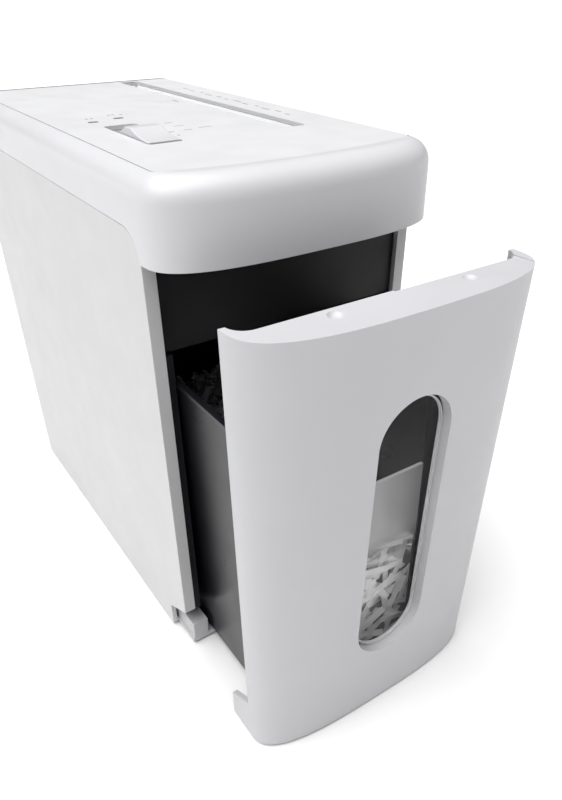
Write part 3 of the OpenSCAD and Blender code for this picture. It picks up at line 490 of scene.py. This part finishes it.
slots = {s["node"]: s["material_slot"] for s in frame["record"]["subparts"]}
for node_name, node_object in frame["nodes"].items():
    node_object.data.materials.clear()
    node_object.data.materials.append(mats[slots[node_name]])


# ---------------------------------------------------------------- casing


def side_seam_cut(name, gap):
    """The region below the head's side seam, with the rounded shoulder at the front."""
    far = rear_top_y + 20 * MM
    corner = arc(face_y + shoulder_r, seam_z - shoulder_r, shoulder_r + gap, 180, 90, 24)
    points = corner + [(far, seam_z + gap), (far, skirt_z - 20 * MM), (corner[0][0], skirt_z - 20 * MM)]
    return prism_x(name, points, -0.2, 0.2)


def head_ring(t, z):
    r = max(head_rear_r - t, 1.5 * MM)
    return at_z(bowed_plan(head_half - t, head_bow - t, face_y, rear_top_y - t, r), z)


def head_solid(name, t, low):
    straight = top_z - top_fillet
    f = top_fillet - t
    rings = [head_ring(t, low), head_ring(t, straight)]
    for i in range(1, 17):
        a = math.radians(90 * i / 16)
        rings.append(head_ring(t + f * (1 - math.cos(a)), straight + f * math.sin(a)))
    return loft(name, rings)


def make_head():
    head = head_solid("head_cover_shell", 0, skirt_z)
    boolean(
        head,
        "DIFFERENCE",
        head_solid("inner", head_wall, skirt_z - 1 * MM),
        prism_z("recess", panel_outline(0), top_z - panel_t - 0.4 * MM, top_z + 2 * MM),
        prism_z("mouth", panel_outline(ledge_w), top_z - 12 * MM, top_z + 2 * MM),
        side_seam_cut("sides", seam_gap),
    )
    soften(head, 0.35 * MM)
    return dress(head, "chassis", mats["white_gloss"], ["head_cover"])


throat_x = (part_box("cutter_shaft_a")[0].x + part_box("cutter_shaft_b")[1].x) / 2
throat_w = 6 * MM
funnel_margin = 3 * MM
funnel_x = (chute_lo.x + chute_hi.x) / 2
funnel_w = chute_hi.x - chute_lo.x - 2 * funnel_margin
funnel_l = chute_hi.y - chute_lo.y - 4 * MM
funnel_y = (chute_lo.y + chute_hi.y) / 2
tray_wall = 1.6 * MM
switch_x = (tray_lo.x + tray_hi.x) / 2
switch_y = (tray_lo.y + tray_hi.y) / 2
switch_w = tray_hi.x - tray_lo.x - 2 * tray_wall
switch_l = tray_hi.y - tray_lo.y - 2 * tray_wall
lamp_w = 6 * MM
lamp_l = 3.4 * MM
lamps = [
    (lamps_lo.x + lamp_w / 2, lamps_lo.y + lamp_l / 2),
    (lamps_hi.x - lamp_w / 2, lamps_hi.y - lamp_l / 2),
]


def make_top_panel():
    panel = prism_z("top_panel_plate", panel_outline(0.5 * MM), panel_lo.z, panel_hi.z)
    z0, z1 = panel_lo.z - 5 * MM, panel_hi.z + 5 * MM
    cuts = [
        prism_z("slot", rounded_rect(funnel_x, funnel_y, funnel_w, funnel_l, 3 * MM), z0, z1),
        prism_z("switch", rounded_rect(switch_x, switch_y, switch_w, switch_l, 2.5 * MM), z0, z1),
    ]
    for x, y in lamps:
        outline = rounded_rect(x, y, lamp_w + 0.2 * MM, lamp_l + 0.2 * MM, lamp_l / 2)
        cuts.append(prism_z("lamp", outline, z0, z1))
    boolean(panel, "DIFFERENCE", *cuts)
    soften(panel, 0.3 * MM)
    return dress(panel, "chassis", mats["white_satin"], ["top_panel"])


def make_chute():
    """Entry funnel whose left wall slopes down to the throat beside its upright right wall."""
    top, deep = chute_hi.z, top_z - 27 * MM
    wall = 1.8 * MM
    left, right = funnel_x - funnel_w / 2, funnel_x + funnel_w / 2
    throat_left, throat_right = throat_x - throat_w / 2, throat_x + throat_w / 2
    outside = [
        (chute_lo.x, top),
        (chute_lo.x, top - wall),
        (left - wall, top - wall),
        (throat_left - wall, deep),
        (throat_left - wall, chute_lo.z),
        (throat_right + wall, chute_lo.z),
        (throat_right + wall, deep),
        (right + wall, top - wall),
        (chute_hi.x, top - wall),
        (chute_hi.x, top),
    ]
    inside = [
        (left, top + 1 * MM),
        (left, top - 1 * MM),
        (throat_left, deep),
        (throat_left, chute_lo.z - 1 * MM),
        (throat_right, chute_lo.z - 1 * MM),
        (throat_right, deep),
        (right, top - 1 * MM),
        (right, top + 1 * MM),
    ]
    chute = prism_y("entry_funnel", outside[::-1], chute_lo.y, chute_hi.y)
    boolean(chute, "DIFFERENCE", prism_y("inside", inside[::-1], chute_lo.y + wall, chute_hi.y - wall))
    soften(chute, 0.3 * MM)
    return dress(chute, "chassis", mats["chute_white"], ["entry_chute"])


def make_switch_tray():
    tray = prism_z("switch_recess",
                   rounded_rect(switch_x, switch_y, tray_hi.x - tray_lo.x, tray_hi.y - tray_lo.y, 4 * MM),
                   tray_lo.z, tray_hi.z)
    well = rounded_rect(switch_x, switch_y, switch_w, switch_l, 2.5 * MM)
    boolean(tray, "DIFFERENCE", prism_z("well", well, tray_lo.z + tray_wall, tray_hi.z + 2 * MM))
    stem_half = 3.1 * MM
    slit_y0 = slider_lo.y + 12.4 * MM
    boolean(tray, "DIFFERENCE", block("slit", switch_x - stem_half, switch_x + stem_half,
                                      slit_y0, slit_y0 + 30.2 * MM, tray_lo.z - 2 * MM, tray_hi.z))
    soften(tray, 0.3 * MM)
    return dress(tray, "chassis", mats["white_satin"], ["switch_tray"])


def make_slider():
    """Thumb slider with a hollow that sweeps up from the front lip to a ridge."""
    lip, high = top_z + 0.2 * MM, slider_hi.z
    low = tray_lo.z + tray_wall + 0.3 * MM
    y0, y1 = slider_lo.y, slider_hi.y
    rise = y1 - y0 - 14 * MM
    steps = 28
    profile = []
    for i in range(steps + 1):
        u = i / steps
        profile.append((y0 + u * rise, lip + (high - lip) * u * u))
    profile += [(y0 + rise + 7 * MM, high - 0.3 * MM), (y1, lip), (y1, low), (y0, low)]
    slider = prism_x("thumb_slider", profile, slider_lo.x, slider_hi.x)
    soften(slider, 0.9 * MM, 24, 4)
    stem_y = (y0 + y1) / 2
    stem = block("stem", switch_x - 2.5 * MM, switch_x + 2.5 * MM, stem_y - 4.5 * MM, stem_y + 4.5 * MM,
                 slider_lo.z, low + 1 * MM)
    boolean(slider, "UNION", stem)
    soften(slider, 0)
    return dress(slider, "switch_slider", mats["white_gloss"], ["switch_slider"])


def mark(x, y, w, l):
    """One printed dash or dot on the top panel, x and y in millimetres from the casing's front."""
    cx, cy = x * MM, face_y + y * MM
    r = min(w, l) * MM * 0.45
    outline = rounded_rect(cx, cy, w * MM, l * MM, r)
    return prism_z("mark", outline, panel_hi.z - 0.05 * MM, panel_hi.z + 0.03 * MM)


def make_marks():
    """Small generic print: bars by the switch, signs by the lamps, dashes by the slot."""
    pieces = []
    for x, y, w in [(-15.5, 97, 5), (-14.5, 86, 6.5), (-25, 72, 2.2), (-15.5, 73, 5), (-4, 75, 8)]:
        pieces.append(mark(x, y, w, 1.1))
    for y in (62, 72, 82):
        pieces.append(mark(-26.5, y, 1.0, 3.0))
    for x, y in [(-48.5, 134), (-45.5, 134), (-33, 139.5), (-30.5, 139.5), (-26, 138)]:
        pieces.append(mark(x, y, 1.8, 2.4))
    for i in range(12):
        pieces.append(mark(56 + 1.5 * (i % 2), 84 + 12 * i, 1.3, 4.5 + 2.5 * (i % 3)))
    pieces.append(mark(25, 168, 1.3, 9))
    marks = pieces[0]
    boolean(marks, "UNION", *pieces[1:])
    marks.name = "printed_marks"
    soften(marks, 0)
    return dress(marks, "chassis", ink)


def body_plan(t, z, y0, r_front=0.4 * MM):
    return at_z(box_plan(half_w(z) - t, y0, rear_y(z) - t, r_front, max(rear_r - t, 1 * MM)), z)


def make_body():
    shell = loft("body_casing", [body_plan(0, z, face_y) for z in (foot_h, seam_z)])
    inner = loft(
        "inner",
        [body_plan(case_wall, z, face_y + case_wall) for z in (foot_h - 2 * MM, seam_z + 2 * MM)],
    )
    boolean(shell, "DIFFERENCE", inner)
    mouth = []
    for z in (foot_h - 2 * MM, seam_z + 2 * MM):
        half = half_w(z) - flange_w
        y0, y1 = face_y - 5 * MM, face_y + case_wall + 1 * MM
        mouth.append([(-half, y0, z), (half, y0, z), (half, y1, z), (-half, y1, z)])
    boolean(shell, "DIFFERENCE", loft("mouth", mouth))
    head_room = block("head_room", -half_w(0), half_w(0), face_y - 5 * MM, face_y + case_wall + 1 * MM,
                      skirt_z - 1 * MM, seam_z + 5 * MM)
    shoulder = block("shoulder", -0.1, 0.1, face_y - 5 * MM, face_y + shoulder_r,
                     seam_z - shoulder_r, seam_z + 5 * MM)
    boolean(shoulder, "DIFFERENCE", prism_x(
        "round", arc(face_y + shoulder_r, seam_z - shoulder_r, shoulder_r, 0, 360 - 360 / 96, 95), -0.2, 0.2))
    notch = prism_x(
        "notch",
        [
            (face_y - 5 * MM, floor_z - 5 * MM),
            (face_y + notch_deep + move_gap, floor_z - 5 * MM),
            (face_y + notch_deep + move_gap, notch_z + move_gap),
            (face_y, notch_rise + move_gap),
            (face_y - 5 * MM, notch_rise + move_gap),
        ],
        -0.1,
        0.1,
    )
    boolean(shell, "DIFFERENCE", head_room, shoulder, notch)
    vent_w, vent_l, vent_pitch, vents = 4 * MM, 26 * MM, 8 * MM, 9
    vent_z = (grille_lo.z + grille_hi.z) / 2
    for i in range(vents):
        x = (i - (vents - 1) / 2) * vent_pitch
        outline = rounded_rect(x, vent_z, vent_w, vent_l, vent_w / 2 - 0.01 * MM)
        boolean(shell, "DIFFERENCE", prism_y("vent", outline, rear_base_y - 20 * MM, rear_top_y + 5 * MM))
    gland_x, gland_z = (gland_lo.x + gland_hi.x) / 2, (gland_lo.z + gland_hi.z) / 2
    holes = [(gland_x, gland_z, gland_bore)]
    holes += [(s * screw_x, z, screw_bore) for z in (screw_low, screw_top) for s in (-1, 1)]
    for x, z, r in holes:
        boolean(shell, "DIFFERENCE", rod_y("hole", x, z, r, rear_base_y - 20 * MM, rear_top_y + 5 * MM))
    soften(shell, 0.35 * MM)
    return dress(shell, "chassis", mats["side_white"], ["body_shell"])


# ---------------------------------------------------------------- drawer


def front_half(z):
    return half_bottom + (half_top - half_bottom) * z / front_h


def front_bow(z):
    return bow_bottom + (bow_top - bow_bottom) * z / front_h


def front_ring(t, z, y1):
    points = bowed(front_half(z) - t, front_bow(z) - t, wing_y)
    return at_z(points + [(front_half(z) - t, y1), (-front_half(z) + t, y1)], z)


def front_solid(name, t, z0, z1, y1):
    return loft(name, [front_ring(t, z, y1) for z in (z0, z1)])


def make_side_tab(side):
    rings = []
    for z in (front_z0, front_h):
        x0, x1 = side * (front_half(z) - front_wall), side * front_half(z)
        y0, y1 = wing_y - 1.5 * MM, wing_y + notch_deep
        rings.append([(x0, y0, z), (x1, y0, z), (x1, y1, z), (x0, y1, z)])
    slab = loft("tab", rings)
    profile = [
        (wing_y - 2 * MM, front_z0),
        (wing_y + tab_reach, front_z0),
        (wing_y + tab_reach, notch_z),
        (wing_y, tab_rise),
        (wing_y - 2 * MM, tab_rise + 1 * MM),
    ]
    return boolean(slab, "INTERSECT", prism_x("profile", profile, -0.1, 0.1))


def make_drawer_front():
    front = front_solid("drawer_front_shell", 0, front_z0, front_h, wing_y)
    boolean(front, "DIFFERENCE",
            front_solid("inner", front_wall, front_z0 + front_wall, front_h - front_wall, wing_y + 2 * MM))
    edge_y = wing_y - bow_top + ledge_depth
    ledge_cut = rounded_rect(0, edge_y + 14 * MM, 2 * (half_top - front_wall), 28 * MM, 9 * MM)
    boolean(front, "DIFFERENCE", prism_z("ledge", ledge_cut, front_h - 5 * MM, front_h + 5 * MM))
    ramp = [
        (wing_y - bow_top + 3 * MM, front_h + 0.05 * MM),
        (edge_y + 25 * MM, front_h - ledge_step),
        (edge_y + 25 * MM, front_h + 2 * MM),
        (wing_y - bow_top + 3 * MM, front_h + 2 * MM),
    ]
    boolean(front, "DIFFERENCE", prism_x("ramp", ramp, -2 * MM, half_top - 6 * MM))
    surround = front_solid("surround", front_wall - 0.2 * MM, window_z0 - 9 * MM,
                           window_z1 + 9 * MM, wing_y + 1 * MM)
    boolean(surround, "DIFFERENCE",
            front_solid("deep", window_deep, window_z0 - 12 * MM, window_z1 + 12 * MM, wing_y + 3 * MM))
    rim = prism_y("rim", obround(window_w + 6 * MM, window_z0 - 3 * MM, window_z1 + 3 * MM),
                  wing_y - 60 * MM, wing_y - 1 * MM)
    boolean(surround, "INTERSECT", rim)
    boolean(front, "UNION", surround, make_side_tab(-1), make_side_tab(1))
    hole = prism_y("hole", obround(window_w, window_z0, window_z1), wing_y - 60 * MM, wing_y + 2 * MM)
    boolean(front, "DIFFERENCE", hole)
    for side in (-1, 1):
        centre = (side * plunger_x, wing_y - plunger_y, front_h + 3.2 * MM)
        boolean(front, "DIFFERENCE", ball("dimple", centre, dimple_r))
    soften(front, 0.45 * MM, segments=3)
    return dress(front, "drawer", mats["drawer_white"], ["drawer_front"])


bin_y0 = pane_hi.y - 2 * MM
bin_wall = 2.2 * MM
bin_r = 11 * MM
rim_w = 1.4 * MM
bin_h = bin_hi.z
bin_z0 = bin_lo.z
bin_half_top = bin_hi.x - rim_w
bin_half_base = 57 * MM
bin_rear_top = bin_hi.y - rim_w
bin_rear_base = bin_rear_top - 19 * MM


def bin_half(z):
    return bin_half_base + (bin_half_top - bin_half_base) * z / bin_h


def bin_ring(t, z):
    y1 = bin_rear_base + (bin_rear_top - bin_rear_base) * z / bin_h
    r = max(bin_r - t, 1 * MM)
    return at_z(box_plan(bin_half(z) - t, bin_y0 + t, y1 - t, r, r), z)


def make_bin():
    under = 2.5 * MM
    tub = loft("waste_bin_tub", [
        bin_ring(1.6 * MM, bin_z0), bin_ring(0.45 * MM, bin_z0 + 0.5 * MM), bin_ring(0, bin_z0 + 1.8 * MM),
        bin_ring(0, bin_h - under), bin_ring(-rim_w, bin_h - under), bin_ring(-rim_w, bin_h)])
    boolean(tub, "DIFFERENCE",
            loft("inner", [bin_ring(bin_wall, bin_z0 + bin_wall), bin_ring(bin_wall, bin_h + 5 * MM)]))
    pane_half = pane_hi.x + 0.2 * MM
    boolean(tub, "DIFFERENCE", block("pane_cut", -pane_half, pane_half, bin_y0 - 5 * MM,
                                     bin_y0 + bin_wall + 1 * MM, pane_lo.z - 0.2 * MM, bin_h + 5 * MM))
    soften(tub, 0.4 * MM, segments=3)
    return dress(tub, "drawer", mats["bin_black"], ["waste_bin"])


def make_lens():
    """Bowed window pane with a raised rim that stands in the opening."""
    lens = front_solid("window_glass", window_deep + 0.1 * MM, window_z0 - 9 * MM, window_z1 + 9 * MM, wing_y)
    boolean(lens, "DIFFERENCE", front_solid("inside", window_deep + lens_t, window_z0 - 12 * MM,
                                            window_z1 + 12 * MM, wing_y + 3 * MM))
    edge = prism_y("edge", obround(window_w + 5 * MM, window_z0 - 2.5 * MM, window_z1 + 2.5 * MM),
                   wing_y - 60 * MM, wing_y - 1 * MM)
    boolean(lens, "INTERSECT", edge)
    rim = front_solid("window_rim", front_wall + 1.2 * MM, window_z0 - 1 * MM, window_z1 + 1 * MM, wing_y)
    boolean(rim, "DIFFERENCE", front_solid("rim_inside", window_deep + 0.3 * MM, window_z0 - 5 * MM,
                                           window_z1 + 5 * MM, wing_y + 3 * MM))
    gap, rim_t = lens_rim_gap, lens_rim_t
    outer = prism_y("outer", obround(window_w - 2 * gap, window_z0 + gap, window_z1 - gap),
                    wing_y - 60 * MM, wing_y - 1 * MM)
    inner = prism_y("inner", obround(window_w - 2 * (gap + rim_t), window_z0 + gap + rim_t,
                                     window_z1 - gap - rim_t), wing_y - 70 * MM, wing_y + 5 * MM)
    boolean(rim, "INTERSECT", outer)
    boolean(rim, "DIFFERENCE", inner)
    soften(rim, 0.3 * MM, segments=3)
    # The rim's pale, half-opaque material is a painted highlight along the lens edge.
    dress(rim, "drawer", mats["lens_edge_painted_highlight"])
    soften(lens, 0.25 * MM)
    return dress(lens, "drawer", mats["clear_lens"], ["window_lens"])


def make_pane():
    """Clear pane in the bin's front."""
    front, y1 = max(bin_y0, pane_lo.y), pane_hi.y
    profile = [
        (front, pane_lo.z),
        (y1, pane_lo.z),
        (y1, pane_hi.z),
        (front, pane_hi.z),
    ]
    pane = prism_x("bin_window", profile, pane_lo.x, pane_hi.x)
    soften(pane, 0.3 * MM)
    return dress(pane, "drawer", mats["bin_clear"], ["bin_pane"])


def make_clips():
    """White brackets at the bin's front corners that hold it to the drawer front."""
    lo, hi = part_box("bin_clips")
    wall = 2.3 * MM
    clips = None
    for side in (-1, 1):
        x0, x1 = sorted((side * hi.x, side * (hi.x - 5.6 * MM)))
        clip = block("bin_brackets", x0, x1, lo.y, hi.y, lo.z, hi.z)
        c0, c1 = sorted((side * (hi.x - wall + 0.3 * MM), side * (hi.x - 8 * MM)))
        boolean(clip, "DIFFERENCE", block("inside", c0, c1, lo.y - 1 * MM, hi.y + 1 * MM,
                                          lo.z + wall, hi.z + 1 * MM))
        if clips is None:
            clips = clip
        else:
            boolean(clips, "UNION", clip)
    soften(clips, 0.6 * MM, segments=3)
    return dress(clips, "drawer", mats["white_satin"], ["bin_clips"])


# ---------------------------------------------------------------- shredded paper

pile_lo, pile_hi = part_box("shred_pile")
STRIP_W = 4 * MM
STRIP_T = 0.12 * MM
LOOSE_STRIPS = 950
PANE_STRIPS = 135
SEED = 41
pile_front = bin_y0 + bin_wall + 0.6 * MM
pile_half = bin_half(pile_lo.z) - bin_wall - 2 * MM
pile_back = pile_hi.y - 4 * MM


def pile_top(x, y):
    """Height of the heap: fuller at the left of the window and lumpy all over."""
    lump = (5 * math.sin(x / (17 * MM) + 1.3) * math.cos(y / (23 * MM))
            + 3 * math.sin(y / (9 * MM) + x / (11 * MM)))
    near = math.exp(-(((y - pile_front) / (26 * MM)) ** 2))
    slope = -0.42 * x / MM
    return pile_hi.z + (lump - 6 + near * (5 + slope * (1 if abs(x) < 30 * MM else 0.5))) * MM


def strip_mesh(verts, faces, centre, rotation, length, curl, twist):
    """A cut strip of paper, bent along its length and twisted a little."""
    n = 6
    start = len(verts)
    for i in range(n + 1):
        u = i / n - 0.5
        a = u * curl
        radius = length / curl if abs(curl) > 0.05 else None
        along = radius * math.sin(a) if radius else u * length
        out = radius * (1 - math.cos(a)) if radius else 0
        for w in (-0.5, 0.5):
            for t in (-0.5, 0.5):
                local = Vector((along, w * STRIP_W, out + t * STRIP_T))
                local = Matrix.Rotation(twist * u, 3, "X") @ local
                verts.append(tuple(centre + rotation @ local))
    for i in range(n):
        a, b = start + 4 * i, start + 4 * (i + 1)
        faces.extend([
            [a, b, b + 2, a + 2],
            [a + 1, a + 3, b + 3, b + 1],
            [a, a + 1, b + 1, b],
            [a + 2, b + 2, b + 3, a + 3],
        ])
    last = start + 4 * n
    faces.append([start, start + 2, start + 3, start + 1])
    faces.append([last, last + 1, last + 3, last + 2])


def inside_bin(centre, half_length):
    reach = half_length + 1 * MM
    x = min(max(centre.x, -pile_half + reach), pile_half - reach)
    y = min(max(centre.y, pile_front + 0.5 * MM), pile_back - reach)
    return Vector((x, y, max(centre.z, pile_lo.z + reach)))


def make_shreds():
    rng = random.Random(SEED)
    verts, faces = [], []
    for i in range(LOOSE_STRIPS):
        length = rng.uniform(14, 34) * MM
        x = rng.uniform(-1, 1) * pile_half
        y = pile_front + rng.random() * (pile_back - pile_front)
        z = pile_top(x, y) + rng.uniform(-2.5, 2.5) * MM
        centre = inside_bin(Vector((x, y + length / 2, z)), length / 2)
        rotation = (Matrix.Rotation(rng.uniform(0, math.pi), 3, "Z")
                    @ Matrix.Rotation(rng.gauss(0, 0.32), 3, "Y")
                    @ Matrix.Rotation(rng.gauss(0, 0.5), 3, "X"))
        strip_mesh(verts, faces, centre, rotation, length, rng.uniform(-1.1, 1.1), rng.gauss(0, 0.5))
    for i in range(PANE_STRIPS):
        length = rng.uniform(12, 32) * MM
        layer = rng.random() ** 1.5
        x = rng.uniform(-1, 1) * 31 * MM
        low, high = pile_lo.z + 3 * MM, pile_top(x, pile_front) - 3 * MM
        z = low + (high - low) * rng.random() ** 0.9
        tilt = rng.gauss(0, 0.75) + (math.pi / 2 if rng.random() < 0.25 else 0)
        spread = abs(math.sin(tilt)) * length / 2
        z = min(max(z, pile_lo.z + spread), high + 2 * MM)
        centre = Vector((x, pile_front + (0.3 + 5.5 * layer) * MM, z))
        rotation = (Matrix.Rotation(tilt, 3, "Y")
                    @ Matrix.Rotation(math.pi / 2 + rng.gauss(0, 0.12), 3, "X"))
        strip_mesh(verts, faces, centre, rotation, length, rng.uniform(-0.35, 0.35), rng.gauss(0, 0.25))
    leaning = [(-15, 96, 30, 0.95), (-13, 82, 27, -0.62), (4, 80, 20, 0.25), (-19, 101, 18, 0.7)]
    for x, z, length, tilt in leaning:
        centre = Vector((x * MM, pile_front + 0.35 * MM, z * MM))
        rotation = Matrix.Rotation(tilt, 3, "Y") @ Matrix.Rotation(math.pi / 2, 3, "X")
        strip_mesh(verts, faces, centre, rotation, length * MM, 0.12, 0.1)
    shreds = new_object("shredded_paper", verts, faces)
    shreds.data.polygons.foreach_set("use_smooth", [True] * len(shreds.data.polygons))
    shreds.data.set_sharp_from_angle(angle=math.radians(50))
    return dress(shreds, "drawer", mats["paper"])


def make_heap():
    """Closed, lumpy body of packed strips that the loose ones lie on; dark grey as painted shade."""
    nx, ny = 44, 84
    x0, x1 = -pile_half, pile_half
    y0, y1 = pile_front + 6.5 * MM, pile_back
    verts = []
    for k in (0, 1):
        for j in range(ny + 1):
            for i in range(nx + 1):
                x = x0 + (x1 - x0) * i / nx
                y = y0 + (y1 - y0) * j / ny
                edge = min(i, nx - i, j, ny - j)
                top = pile_top(x, y) - (3 + 3 * (edge == 0)) * MM
                verts.append((x, y, top if k else pile_lo.z))
    row = nx + 1
    layer = row * (ny + 1)
    faces = []
    for j in range(ny):
        for i in range(nx):
            a = j * row + i
            faces.append([a, a + row, a + row + 1, a + 1])
            faces.append([layer + a, layer + a + 1, layer + a + row + 1, layer + a + row])
    for i in range(nx):
        a, b = i, ny * row + i
        faces.append([a, a + 1, layer + a + 1, layer + a])
        faces.append([b, layer + b, layer + b + 1, b + 1])
    for j in range(ny):
        a, b = j * row, j * row + nx
        faces.append([a, layer + a, layer + a + row, a + row])
        faces.append([b, b + row, layer + b + row, layer + b])
    heap = tidy_mesh(new_object("heap_painted_shade", verts, faces))
    soften(heap, 0, 60)
    return dress(heap, "drawer", mats["heap_painted_shade"], ["shred_pile"])


make_head()
make_top_panel()
make_chute()
make_switch_tray()
make_slider()
make_marks()
make_body()
make_drawer_front()
make_bin()
make_lens()
make_pane()
make_clips()
make_heap()
make_shreds()

# ---------------------------------------------------------------- stage, light and camera

FLOOR_REACH = 60
LIGHT_FROM = (-0.28, -0.03, 0.955)
LIGHT_STRENGTH = 5.4
CAMERA_AT = (-0.1993, face_y - 0.2901, 0.3602)
CAMERA_TILT = 29.47
CAMERA_TURN = 34.21
CAMERA_LENS = 32.73


def make_floor():
    r = FLOOR_REACH
    floor = new_object("floor", [(-r, -r, 0), (r, -r, 0), (r, r, 0), (-r, r, 0)], [[0, 1, 2, 3]])
    white = plastic("floor_white", (0.79, 0.79, 0.788), 0.9, grain=30.0, bump=0.0, vary=0.002)
    floor.data.materials.append(white)


def make_world():
    """Soft light from above and the left, fading to near black below it."""
    world = bpy.data.worlds.new("studio")
    bpy.context.scene.world = world
    world.use_nodes = True
    tree = world.node_tree
    background = tree.nodes["Background"]
    coords = tree.nodes.new("ShaderNodeTexCoord")
    side = tree.nodes.new("ShaderNodeVectorMath")
    side.operation = "DOT_PRODUCT"
    side.inputs[1].default_value = Vector(LIGHT_FROM).normalized()
    tree.links.new(coords.outputs["Generated"], side.inputs[0])
    ramp = tree.nodes.new("ShaderNodeValToRGB")
    ramp.color_ramp.interpolation = "EASE"
    ramp.color_ramp.elements[0].position = 0.66
    ramp.color_ramp.elements[0].color = (0.012, 0.012, 0.013, 1)
    ramp.color_ramp.elements[1].position = 0.98
    ramp.color_ramp.elements[1].color = (1, 1, 1, 1)
    tree.links.new(side.outputs["Value"], ramp.inputs["Fac"])
    tree.links.new(ramp.outputs["Color"], background.inputs["Color"])
    background.inputs["Strength"].default_value = LIGHT_STRENGTH


def make_camera():
    data = bpy.data.cameras.new("camera")
    data.lens = CAMERA_LENS
    data.sensor_width = 36
    data.shift_x = -0.0063
    data.shift_y = -0.0177
    data.clip_end = 200
    camera = bpy.data.objects.new("camera", data)
    bpy.context.scene.collection.objects.link(camera)
    camera.location = CAMERA_AT
    camera.rotation_euler = (math.radians(90 - CAMERA_TILT), 0, math.radians(-CAMERA_TURN))
    bpy.context.scene.camera = camera


make_floor()
make_world()
make_camera()
bpy.context.scene.view_settings.view_transform = "Standard"
